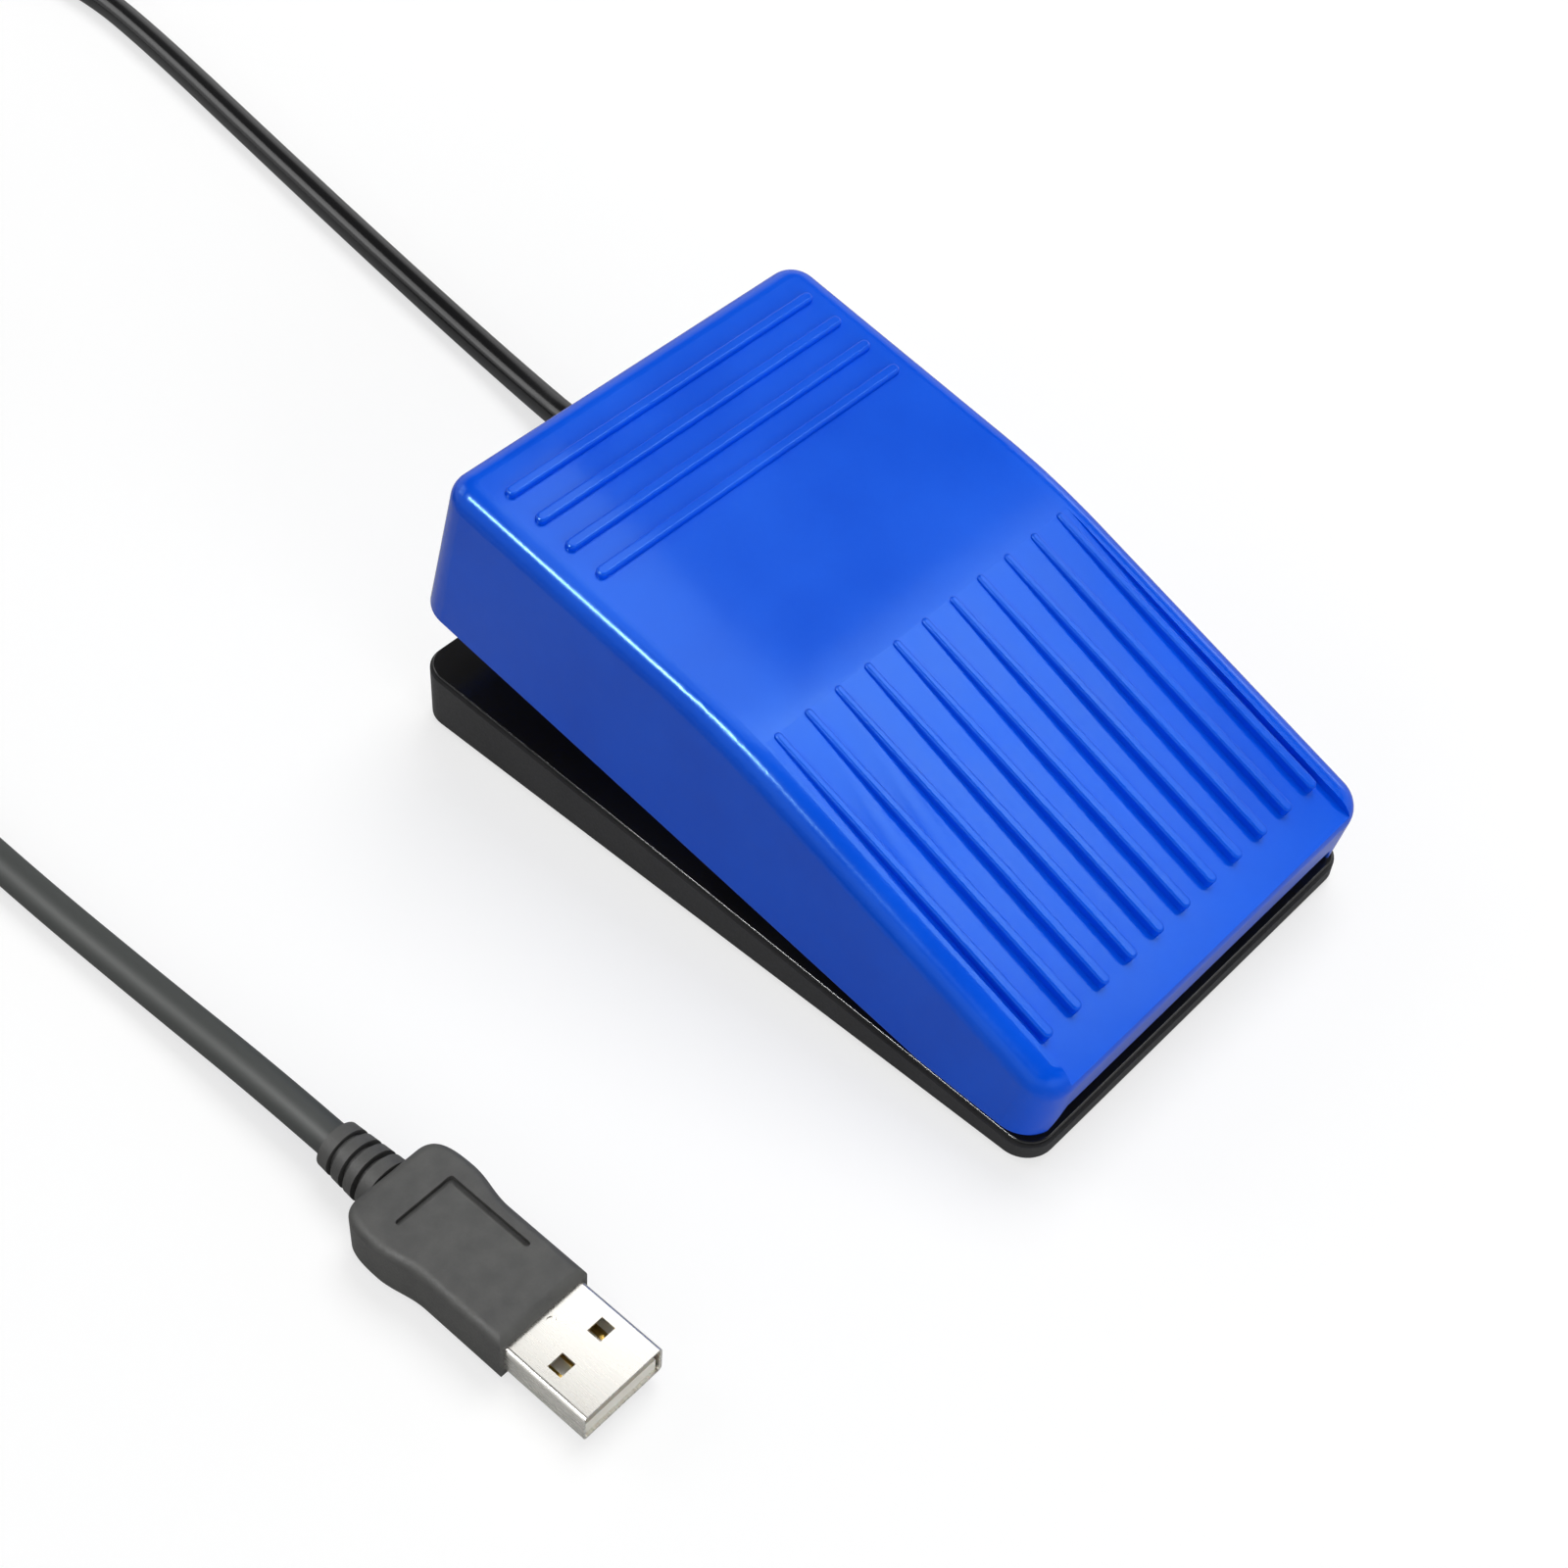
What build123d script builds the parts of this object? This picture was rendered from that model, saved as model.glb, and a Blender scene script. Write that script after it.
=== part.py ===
from build123d import *
import math
import os

os.makedirs("parts", exist_ok=True)

# Driving dimensions of the base, in millimetres and degrees. Y runs from the heel to the toe, Z is up.
base_length = 104.0
base_width = 65.4
base_corner = 4.0
base_wall = 1.8
floor_thickness = 1.6
tray_front_height = 2.2
tray_toe_height = 8.38
tray_edge_round = 0.4
foot_proud = 0.8
parting_gap = 0.3
parting_depth = 1.0
plate_inset = 0.35
plate_rim = 0.4
plate_rim_round = 0.25
plate_step = 0.5
plate_step_clearance = 0.15
over = 1.0

# Driving dimensions of the cover, in its own tilted frame with the hinge axis at zero
rest_tilt = 10.6
hinge_from_heel = 13.9
hinge_height = 9.9
cover_overhang = 0.4
cover_corner = 4.7
cover_draft = 1.9
cover_wall = 2.2
skirt_depth = 5.05
skirt_kink = 3.0
plateau_height = 18.9
hump_place = 42.5
heel_fall = 11.0
hump_radius = 90.0
top_round = 3.2
skirt_round = 0.3
ceiling_drop_at_heel = 3.4
lip_height = 0.9
lip_from_side = 5.7
lip_ramp = 3.6

# Grip pattern of the cover
cross_rib_count = 4
cross_rib_from_toe = 7.7
cross_rib_pitch = 5.17
cross_rib_from_side = 5.3
cross_rib_width = 1.6
cross_rib_height = 0.8
cross_rib_round = 0.45
long_rib_count = 11
long_rib_from_side = 6.1
long_rib_start = 38.1
long_rib_end = -8.1
long_rib_start_width = 1.1
long_rib_end_width = 1.55
long_rib_round = 0.35
long_rib_rise = 0.3
dish_from_side = 4.3
dish_start = 40.2
dish_corner = 2.0
dish_mid = 12.0
dish_mid_depth = 0.9
dish_heel_depth = 1.15

# Hinge
pin_diameter = 3.0
pin_chamfer = 0.3
pin_running_clearance = 0.05
pin_press_clearance = 0.02
lug_radius = 3.2
lug_from_side = 12.7
lug_width = 5.0
knuckle_gap = 0.6
knuckle_width = 4.0
lug_foot = 5.0

# Return springs
spring_from_side = 14.7
spring_from_heel = 60.0
spring_outer = 8.0
spring_wire = 0.8
spring_length = 14.0
spring_turns = 6
spring_seat_rise = 0.6
spring_seat_diameter = 10.0
spring_pin_diameter = 4.0
spring_pin_length = 3.0

# Lever microswitch
switch_length = 19.8
switch_width = 6.4
switch_height = 10.2
switch_from_heel = 34.0
switch_seat_rise = 0.1
switch_edge = 0.4
switch_hole_diameter = 2.35
switch_hole_spacing = 9.5
switch_hole_height = 2.9
switch_play = 0.1
cradle_wall = 1.5
cradle_height = 5.0
cradle_pin_diameter = 2.15
pivot_inset = 1.6
pivot_rise = 0.9
pivot_ear = 0.8
pivot_ear_round = 1.0
pivot_diameter = 1.0
pivot_clearance = 0.06
lever_length = 18.0
lever_thickness = 0.4
lever_width = 3.4
lever_rest_angle = 12.8
lever_contact = 14.3
striker_radius = 1.5
striker_width = 5.0
striker_gap = 0.25
plunger_arm = 4.0
plunger_length = 1.2
plunger_width = 2.4
plunger_depth = 2.2
plunger_travel = 0.8
plunger_gap = 0.2
terminal_pitch = 8.0
terminal_width = 3.2
terminal_thickness = 0.5
terminal_slot_clearance = 0.25

# Circuit board and what it carries
board_length = 26.0
board_width = 30.0
board_thickness = 1.2
board_x = -7.0
board_from_toe = 24.0
board_rise = 1.0
board_corner = 1.0
board_screw_inset = 3.2
board_post_diameter = 5.0
controller_length = 8.6
controller_width = 3.9
controller_height = 1.2
controller_from_board_x = 2.0
controller_from_board_y = 1.0
controller_pin_count = 8
controller_pin_pitch = 1.0
controller_pin_width = 0.4
controller_pin_reach = 1.0
controller_pin_thickness = 0.2
controller_standoff = 0.1
chip_length = 2.0
chip_width = 1.25
chip_height = 0.8
capacitor_diameter = 4.0
capacitor_height = 1.6
header_length = 8.0
header_width = 5.0
header_height = 2.0
header_wall = 0.7
header_from_board_x = 8.0
header_from_board_y = 2.5

# Screws
case_screw_diameter = 2.2
case_screw_head = 4.2
case_screw_head_height = 1.1
case_screw_length = 6.4
case_screw_from_side = 6.7
case_screw_from_toe = 22.0
case_boss_diameter = 6.4
small_screw_diameter = 1.6
small_screw_head = 3.0
small_screw_head_height = 0.9
small_screw_grip = 2.1
screw_clearance = 0.02
screw_slot = 0.5
screw_slot_depth = 0.5
screw_slot_share = 0.6

# Rubber feet
foot_diameter = 9.0
foot_recess = 0.6
foot_round = 0.3
foot_play = 0.05
foot_from_side = 7.2
foot_from_end = 8.0

# Cord, its grommet and its clamp
cord_diameter = 4.5
cord_from_side = 14.7
cord_height = 5.2
cord_play = 0.05
cord_inner_from_toe = 14.0
grommet_hole_diameter = 5.6
grommet_boot_diameter = 7.0
grommet_tip_diameter = 5.8
grommet_boot_length = 9.0
grommet_collar_width = 8.0
grommet_collar_height = 5.6
grommet_collar_length = 1.2
clamp_band = 0.5
clamp_width = 4.0
clamp_from_toe = 8.0
clamp_tab_length = 9.0
clamp_tab_thickness = 0.8
clamp_hole_from_cord = 7.0
clamp_post_height = 1.2
floor_skin = 0.05

# Wires
switch_wire_diameter = 0.9
switch_wire_spread = 0.8
switch_wire_gap = 0.05
core_diameter = 0.8
core_spread = 0.7
core_pitch = 1.4
core_bend = 2.5

# How the cord's runs are laid
arc_share = 0.45
straight_from_base = 18.0

# Plug, type A
plug_x = -87.3
plug_height = 4.0
relief_start = 6.5
relief_length = 8.6
relief_small_diameter = 6.2
relief_large_diameter = 7.4
relief_grooves = 3
relief_groove_width = 0.8
relief_groove_depth = 0.6
relief_groove_pitch = 2.2
mould_length = 25.0
mould_width = 15.2
mould_front_width = 13.2
mould_rear_width = 8.6
mould_thickness = 7.8
mould_shoulder = 6.0
mould_waist = 13.0
mould_round = 1.3
mark_width = 0.8
mark_depth = 0.7
mark_near = 19.0
mark_far = 7.0
mark_left = 3.6
mark_right = 4.2
shell_width = 12.0
shell_thickness = 4.5
shell_wall = 0.3
shell_corner = 0.6
shell_length = 12.0
shell_buried = 3.0
window_width = 2.3
window_length = 2.0
window_x = 3.0
window_from_mould = 5.7
crimp_diameter = 1.2
crimp_depth = 0.15
crimp_from_mould = 1.1
tongue_thickness = 1.9
tongue_set_back = 0.4
contact_width = 1.0
contact_thickness = 0.15
contact_inner_x = 1.0
contact_outer_x = 3.5
contact_inner_length = 6.4
contact_outer_length = 7.4
contact_set_back = 1.2

# Coil of the cord's spare length
coil_x = -66.0
coil_y = 190.0
coil_radius = 29.5
coil_turn_pitch = 5.2
coil_layer_pitch = 5.05
coil_quarters = [7, 6, 6, 8]
coil_start_angle = 110.0
coil_lead_in = 26.5
coil_lead_out = 14.0
coil_checks = 1200
cord_rest = cord_diameter / 2 + floor_skin

# Places worked out from the driving dimensions
slope_rise = (tray_toe_height - tray_front_height) / base_length
base_slope = math.degrees(math.atan(slope_rise))
slope_sin = math.sin(math.radians(base_slope))
slope_cos = math.cos(math.radians(base_slope))
tilt_sin = math.sin(math.radians(rest_tilt))
tilt_cos = math.cos(math.radians(rest_tilt))
heel_rise = math.tan(math.radians(heel_fall))
heel_y = -base_length / 2
toe_y = base_length / 2
hinge_y = heel_y + hinge_from_heel
floor_top = foot_proud + floor_thickness
deck_thickness = parting_gap + plate_rim
slanted_length = base_length / slope_cos
cover_length = base_length + cover_overhang
cover_heel = hinge_from_heel + cover_overhang / 2
cover_toe = cover_length - cover_heel
lip_half_width = base_width / 2 - lip_from_side
cross_rib_last = cover_toe - cross_rib_from_toe
cross_rib_half_length = base_width / 2 - cross_rib_from_side
long_rib_pitch = (base_width - 2 * long_rib_from_side) / (long_rib_count - 1)
dish_half_width = base_width / 2 - dish_from_side
lug_centre = base_width / 2 - lug_from_side
spring_across = base_width / 2 - spring_from_side
spring_along = heel_y + spring_from_heel
switch_centre = heel_y + switch_from_heel
foot_x = base_width / 2 - foot_from_side
foot_y = base_length / 2 - foot_from_end
cord_x = base_width / 2 - cord_from_side
cord_inner_end = toe_y - cord_inner_from_toe
clamp_y = toe_y - clamp_from_toe
board_y = toe_y - board_from_toe
controller_x = board_x - controller_from_board_x
controller_y = board_y - controller_from_board_y
header_x = board_x + header_from_board_x
header_y = board_y + header_from_board_y


def tray_top(y):
    return foot_proud + tray_front_height + (y - heel_y) * slope_rise


def deck_top(y):
    return tray_top(y) + deck_thickness / slope_cos


def crest(y):
    """Height of the cover's top line on the heel half, in the cover's frame."""
    return plateau_height - (hump_place - y) * heel_rise


def screw(x, y, under_head, length, diameter, head, head_height, up):
    """A screw with a cross recess: up is 1 when its tip points up and -1 when it points down."""
    tip = Plane(origin=(x, y, under_head), z_dir=(0, 0, up))
    face = Plane(origin=(x, y, under_head - up * head_height), z_dir=(0, 0, -up))
    with BuildPart() as made:
        with BuildSketch(tip):
            Circle(diameter / 2)
        extrude(amount=length)
        with BuildSketch(tip.offset(-head_height)):
            Circle(head / 2)
        if up > 0:
            with BuildSketch(tip):
                Circle(diameter / 2)
            loft()
        else:
            extrude(amount=head_height)
        with BuildSketch(face):
            Rectangle(screw_slot_share * head, screw_slot)
            Rectangle(screw_slot, screw_slot_share * head)
        extrude(amount=-screw_slot_depth, mode=Mode.SUBTRACT)
    return made.part


def tube(points, diameter, least_radius=None):
    """A round tube along straight runs joined by arcs as large as the runs allow."""
    spots = [Vector(*point) for point in points]
    radii = []
    for before, here, after in zip(spots, spots[1:], spots[2:]):
        turn = (here - before).get_angle(after - here)
        shorter = min((here - before).length, (after - here).length)
        radii.append(arc_share * shorter / math.tan(math.radians(turn / 2)))
    if least_radius is not None:
        radii = [min(radius, least_radius) for radius in radii]
    with BuildPart() as made:
        with BuildLine() as route:
            FilletPolyline(*spots, radius=radii)
        path = route.wire()
        with BuildSketch(Plane(origin=path @ 0, z_dir=path % 0)):
            Circle(diameter / 2)
        sweep()
    return made.part, path.length, radii


def write(part, name):
    part.label = name
    export_step(part, f"parts/{name}.step")


rim_plane = Plane(origin=(0, 0, tray_top(0)), x_dir=(1, 0, 0), z_dir=(0, -slope_sin, slope_cos))
cover_plane = Plane(origin=(0, hinge_y, hinge_height), x_dir=(1, 0, 0), z_dir=(0, -tilt_sin, tilt_cos))
side_plane = Plane(origin=(0, hinge_y, hinge_height), x_dir=(0, tilt_cos, tilt_sin), z_dir=(1, 0, 0))
upright_plane = Plane(origin=(0, 0, 0), x_dir=(0, 1, 0), z_dir=(1, 0, 0))
rim_up = Axis(origin=(0, 0, 0), direction=(0, -slope_sin, slope_cos))
cover_up = Axis(origin=(0, 0, 0), direction=(0, -tilt_sin, tilt_cos))
case_screw_places = [
    (-lug_centre, hinge_y),
    (lug_centre, hinge_y),
    (-base_width / 2 + case_screw_from_side, toe_y - case_screw_from_toe),
    (base_width / 2 - case_screw_from_side, toe_y - case_screw_from_toe),
]
board_screw_x = board_width / 2 - board_screw_inset
board_screw_y = board_length / 2 - board_screw_inset
board_screw_places = [
    (board_x - board_screw_x, board_y - board_screw_y),
    (board_x + board_screw_x, board_y + board_screw_y),
]
clamp_screw_place = (cord_x + clamp_hole_from_cord, clamp_y)

# Tray: a wedge-shaped open box with holes for the screws, recesses for the feet and the cord's way out
with BuildPart() as base_tray:
    with BuildSketch(Plane.XY.offset(foot_proud)):
        RectangleRounded(base_width, base_length, base_corner)
    extrude(amount=tray_top(toe_y) + over)
    split(bisect_by=rim_plane, keep=Keep.BOTTOM)
    fillet(base_tray.faces().sort_by(Axis.Z)[0].edges(), radius=tray_edge_round)
    with BuildSketch(Plane.XY.offset(floor_top)):
        RectangleRounded(
            base_width - 2 * base_wall, base_length - 2 * base_wall, base_corner - base_wall
        )
    extrude(amount=tray_top(toe_y), mode=Mode.SUBTRACT)
    with BuildSketch(Plane.XY.offset(floor_top)):
        with Locations(*board_screw_places):
            Circle(board_post_diameter / 2)
    extrude(amount=board_rise)
    with BuildSketch(Plane.XY.offset(floor_top)):
        with Locations(clamp_screw_place):
            Circle(board_post_diameter / 2)
    extrude(amount=clamp_post_height)
    with BuildSketch(Plane.XY.offset(foot_proud)):
        with GridLocations(2 * foot_x, 2 * foot_y, 2, 2):
            Circle(foot_diameter / 2 + foot_play)
    extrude(amount=foot_recess, mode=Mode.SUBTRACT)
    sink_slope = (case_screw_head - case_screw_diameter) / 2 / case_screw_head_height
    with Locations(*[Location((x, y, foot_proud), (180, 0, 0)) for x, y in case_screw_places]):
        CounterSinkHole(
            radius=case_screw_diameter / 2 + screw_clearance,
            counter_sink_radius=case_screw_head / 2 + screw_clearance,
            depth=floor_thickness + over,
            counter_sink_angle=2 * math.degrees(math.atan(sink_slope)),
        )
    with BuildSketch(Plane.XY.offset(floor_top + board_rise)):
        with Locations(*board_screw_places):
            Circle(small_screw_diameter / 2 + screw_clearance)
    extrude(amount=-small_screw_grip, mode=Mode.SUBTRACT)
    with BuildSketch(Plane.XY.offset(floor_top + clamp_post_height)):
        with Locations(clamp_screw_place):
            Circle(small_screw_diameter / 2 + screw_clearance)
    extrude(amount=-small_screw_grip, mode=Mode.SUBTRACT)
    with BuildSketch(Plane(origin=(cord_x, toe_y + over, cord_height), z_dir=(0, -1, 0))):
        Circle(grommet_hole_diameter / 2)
    extrude(amount=base_wall + 2 * over, mode=Mode.SUBTRACT)
write(base_tray.part, "base_tray")

# Top plate: a slanted lid that steps into the tray, with hinge lugs, switch cradle and spring seats
switch_seat = deck_top(switch_centre + switch_length / 2) + switch_seat_rise
switch_hole_z = switch_seat + switch_hole_height
spring_seat = deck_top(spring_along) + spring_seat_rise
step_inset = base_wall + plate_step_clearance
cradle_x = switch_width / 2 + switch_play
with BuildPart() as top_plate:
    with BuildSketch(rim_plane.offset(parting_gap)):
        RectangleRounded(
            base_width - 2 * plate_inset, slanted_length - 2 * plate_inset, base_corner - plate_inset
        )
    extrude(amount=plate_rim)
    fillet(top_plate.faces().sort_by(rim_up)[-1].edges(), radius=plate_rim_round)
    with BuildSketch(rim_plane):
        RectangleRounded(
            base_width - 2 * parting_depth, slanted_length - 2 * parting_depth, base_corner - parting_depth
        )
    extrude(amount=parting_gap)
    with BuildSketch(rim_plane):
        RectangleRounded(
            base_width - 2 * step_inset, slanted_length - 2 * step_inset, base_corner - step_inset
        )
    extrude(amount=-plate_step)
    for x, y in case_screw_places:
        with BuildSketch(Plane.XY.offset(floor_top)):
            with Locations((x, y)):
                Circle(case_boss_diameter / 2)
        extrude(amount=tray_top(y) - floor_top)
    for side in (-1, 1):
        with BuildSketch(upright_plane.offset(side * lug_centre)):
            with Locations((hinge_y, hinge_height)):
                Circle(lug_radius)
            with BuildLine():
                Polyline(
                    (hinge_y - lug_foot, tray_top(hinge_y - lug_foot)),
                    (hinge_y + lug_foot, tray_top(hinge_y + lug_foot)),
                    (hinge_y + lug_radius, hinge_height),
                    (hinge_y - lug_radius, hinge_height),
                    close=True,
                )
            make_face()
        extrude(amount=lug_width / 2, both=True)
    with BuildSketch(Plane.XY.offset(switch_seat)):
        with Locations((0, switch_centre)):
            Rectangle(2 * (cradle_x + cradle_wall), switch_length + 2 * switch_play)
    extrude(amount=tray_top(switch_centre - switch_length / 2) - switch_seat)
    with BuildSketch(Plane.XY.offset(switch_seat)):
        with Locations(*[(side * (cradle_x + cradle_wall / 2), switch_centre) for side in (-1, 1)]):
            Rectangle(cradle_wall, switch_length + 2 * switch_play)
    extrude(amount=cradle_height)
    with BuildSketch(upright_plane.offset(-cradle_x)):
        for side in (-1, 1):
            with Locations((switch_centre + side * switch_hole_spacing / 2, switch_hole_z)):
                Circle(cradle_pin_diameter / 2)
    extrude(amount=switch_width)
    with BuildSketch(Plane.XY.offset(spring_seat)):
        with GridLocations(2 * spring_across, 0, 2, 1):
            with Locations((0, spring_along)):
                Circle(spring_seat_diameter / 2)
    extrude(amount=tray_top(spring_along) - spring_seat)
    with BuildSketch(Plane.XY.offset(spring_seat)):
        with GridLocations(2 * spring_across, 0, 2, 1):
            with Locations((0, spring_along)):
                Circle(spring_pin_diameter / 2)
    extrude(amount=spring_pin_length)
    with BuildSketch(Plane.XY.offset(switch_seat)):
        for step in (-1, 0, 1):
            with Locations((0, switch_centre + step * terminal_pitch)):
                Rectangle(
                    terminal_width + 2 * terminal_slot_clearance,
                    terminal_thickness + 2 * terminal_slot_clearance,
                )
    extrude(amount=-switch_seat, mode=Mode.SUBTRACT)
    with BuildSketch(upright_plane):
        with Locations((hinge_y, hinge_height)):
            Circle(pin_diameter / 2 + pin_press_clearance)
    extrude(amount=base_width / 2, both=True, mode=Mode.SUBTRACT)
    with BuildSketch(Plane.XY.offset(floor_top)):
        with Locations(*case_screw_places):
            Circle(case_screw_diameter / 2 + screw_clearance)
    extrude(amount=case_screw_length - floor_thickness + case_screw_head_height, mode=Mode.SUBTRACT)
write(top_plate.part, "top_plate")

# Hinge pin: pressed into the plate's lugs, the cover's knuckles turn on it
pin_half_length = lug_centre + lug_width / 2 + knuckle_gap + knuckle_width
with BuildPart() as hinge_pin:
    with BuildSketch(Plane(origin=(0, hinge_y, hinge_height), z_dir=(1, 0, 0))):
        Circle(pin_diameter / 2)
    extrude(amount=pin_half_length, both=True)
    chamfer(hinge_pin.edges().filter_by(GeomType.CIRCLE), length=pin_chamfer)
write(hinge_pin.part, "hinge_pin")

# Rubber feet in the tray's recesses
with BuildPart() as rubber_feet:
    with BuildSketch(Plane.XY):
        with GridLocations(2 * foot_x, 2 * foot_y, 2, 2):
            Circle(foot_diameter / 2)
    extrude(amount=foot_proud + foot_recess)
    fillet(rubber_feet.edges().group_by(Axis.Z)[0], radius=foot_round)
write(rubber_feet.part, "rubber_feet")

# Case screws from below, their heads sunk flush in the tray's floor
case_screws = Compound(
    children=[
        screw(x, y, foot_proud + case_screw_head_height, case_screw_length - case_screw_head_height,
              case_screw_diameter, case_screw_head, case_screw_head_height, 1)
        for x, y in case_screw_places
    ]
)
write(case_screws, "case_screws")

# Lever microswitch: body with its cradle holes, plunger well and two ears for the lever
switch_top = switch_seat + switch_height
pivot_y = switch_centre - switch_length / 2 + pivot_inset
pivot_z = switch_top + pivot_rise
plunger_y = pivot_y + plunger_arm
with BuildPart() as switch_body:
    with BuildSketch(Plane.XY.offset(switch_seat)):
        with Locations((0, switch_centre)):
            Rectangle(switch_width, switch_length)
    extrude(amount=switch_height)
    chamfer(switch_body.edges().filter_by(Axis.Z), length=switch_edge)
    with BuildSketch(upright_plane):
        with Locations((pivot_y, pivot_z)):
            Circle(pivot_ear_round)
        with Locations((pivot_y, pivot_z - pivot_ear_round)):
            Rectangle(2 * pivot_ear_round, 2 * pivot_ear_round)
    extrude(amount=switch_width / 2, both=True)
    with BuildSketch(Plane.XY.offset(switch_top)):
        with Locations((0, pivot_y)):
            Rectangle(switch_width - 2 * pivot_ear, 2 * pivot_ear_round + over)
    extrude(amount=pivot_rise + pivot_ear_round, mode=Mode.SUBTRACT)
    with BuildSketch(upright_plane):
        with Locations((pivot_y, pivot_z)):
            Circle(pivot_diameter / 2 + pivot_clearance)
    extrude(amount=switch_width, both=True, mode=Mode.SUBTRACT)
    with BuildSketch(upright_plane):
        for side in (-1, 1):
            with Locations((switch_centre + side * switch_hole_spacing / 2, switch_hole_z)):
                Circle(switch_hole_diameter / 2)
    extrude(amount=switch_width, both=True, mode=Mode.SUBTRACT)
    with BuildSketch(Plane.XY.offset(switch_top)):
        with Locations((0, plunger_y)):
            Rectangle(plunger_width + 2 * switch_play, plunger_length + 2 * switch_play)
    extrude(amount=-(plunger_depth + plunger_travel + switch_play), mode=Mode.SUBTRACT)
write(switch_body.part, "switch_body")

# Lever: a flat strip with a cross pin that turns in the ears
lever_plane = Plane(
    origin=(0, pivot_y, pivot_z),
    x_dir=(0, math.cos(math.radians(lever_rest_angle)), math.sin(math.radians(lever_rest_angle))),
    z_dir=(1, 0, 0),
)
with BuildPart() as switch_lever:
    with BuildSketch(lever_plane):
        with Locations((lever_length / 2, 0)):
            Rectangle(lever_length, lever_thickness)
    extrude(amount=lever_width / 2, both=True)
    with BuildSketch(lever_plane):
        Circle(pivot_diameter / 2)
    extrude(amount=switch_width / 2, both=True)
write(switch_lever.part, "switch_lever")

# Plunger: its rounded top stands just under the lever
under_lever = plunger_arm * math.tan(math.radians(lever_rest_angle)) - lever_thickness
plunger_top = pivot_z + under_lever - plunger_gap
with BuildPart() as switch_plunger:
    with BuildSketch(upright_plane):
        with Locations((plunger_y, plunger_top - plunger_length / 2)):
            Circle(plunger_length / 2)
        with Locations((plunger_y, (plunger_top - plunger_length / 2 + switch_top - plunger_depth) / 2)):
            Rectangle(plunger_length, plunger_top - plunger_length / 2 - switch_top + plunger_depth)
    extrude(amount=plunger_width / 2, both=True)
write(switch_plunger.part, "switch_plunger")

# Terminals: three blades down through the plate's slots
wire_z = floor_top + switch_wire_diameter / 2 + switch_wire_gap
terminal_end = wire_z + switch_wire_diameter / 2 + switch_wire_gap
with BuildPart() as switch_terminals:
    with BuildSketch(Plane.XY.offset(terminal_end)):
        for step in (-1, 0, 1):
            with Locations((0, switch_centre + step * terminal_pitch)):
                Rectangle(terminal_width, terminal_thickness)
    extrude(amount=switch_seat - terminal_end)
write(switch_terminals.part, "switch_terminals")

# Return springs between the plate's seats and the cover's posts
spring_top = spring_seat + spring_length
for side, name in ((-1, "spring_left"), (1, "spring_right")):
    spring_place = Plane(origin=(side * spring_across, spring_along, spring_seat + spring_wire / 2))
    with BuildPart() as spring:
        with BuildLine(spring_place) as spring_route:
            Helix(
                pitch=(spring_length - spring_wire) / spring_turns,
                height=spring_length - spring_wire,
                radius=(spring_outer - spring_wire) / 2,
            )
        with BuildSketch(Plane(origin=spring_route.line @ 0, z_dir=spring_route.line % 0)):
            Circle(spring_wire / 2)
        sweep(is_frenet=True)
    write(spring.part, name)

# What the cover is hollowed by: the room under its ceiling, less its knuckles, striker and spring posts
ceiling = plateau_height - cover_wall
contact_line = striker_gap + lever_thickness / 2 + striker_radius
lever_angle = math.radians(lever_rest_angle)
tip_y = pivot_y + lever_contact * math.cos(lever_angle) - contact_line * math.sin(lever_angle)
tip_z = pivot_z + lever_contact * math.sin(lever_angle) + contact_line * math.cos(lever_angle)
tip_along = (tip_y - hinge_y) * tilt_cos + (tip_z - hinge_height) * tilt_sin
tip_up = (tip_z - hinge_height) * tilt_cos - (tip_y - hinge_y) * tilt_sin
knuckle_centre = lug_centre + lug_width / 2 + knuckle_gap + knuckle_width / 2
tall = 2 * plateau_height
plan_middle = cover_length / 2 - cover_heel
with BuildPart() as hollow:
    with BuildSketch(cover_plane.offset(-2 * skirt_depth)):
        with Locations((0, plan_middle)):
            draft_in = skirt_depth * math.tan(math.radians(cover_draft))
            RectangleRounded(
                base_width - 2 * cover_wall + 2 * draft_in,
                cover_length - 2 * cover_wall + 2 * draft_in,
                cover_corner - cover_wall + draft_in,
            )
    extrude(amount=tall, taper=cover_draft)
    with BuildSketch(side_plane):
        with BuildLine():
            Polyline(
                (-2 * cover_heel, -3 * skirt_depth),
                (cover_length, -3 * skirt_depth),
                (cover_length, ceiling),
                (hump_place, ceiling),
                (-2 * cover_heel, crest(-2 * cover_heel) - ceiling_drop_at_heel),
                close=True,
            )
        make_face()
    extrude(amount=base_width, both=True, mode=Mode.INTERSECT)
    for side in (-1, 1):
        with BuildSketch(side_plane.offset(side * knuckle_centre)):
            Circle(lug_radius)
            with Locations((0, tall / 2)):
                Rectangle(2 * lug_radius, tall)
        extrude(amount=knuckle_width / 2, both=True, mode=Mode.SUBTRACT)
    with BuildSketch(side_plane):
        with Locations((tip_along, tip_up)):
            Circle(striker_radius)
        with Locations((tip_along, tip_up + tall / 2)):
            Rectangle(2 * striker_radius, tall)
    extrude(amount=striker_width / 2, both=True, mode=Mode.SUBTRACT)
    with BuildSketch(Plane.XY.offset(spring_top)):
        with GridLocations(2 * spring_across, 0, 2, 1):
            with Locations((0, spring_along)):
                Circle(spring_seat_diameter / 2)
    extrude(amount=tall, mode=Mode.SUBTRACT)
    with BuildSketch(Plane.XY.offset(spring_top)):
        with GridLocations(2 * spring_across, 0, 2, 1):
            with Locations((0, spring_along)):
                Circle(spring_pin_diameter / 2)
    extrude(amount=-spring_pin_length, mode=Mode.SUBTRACT)


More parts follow.
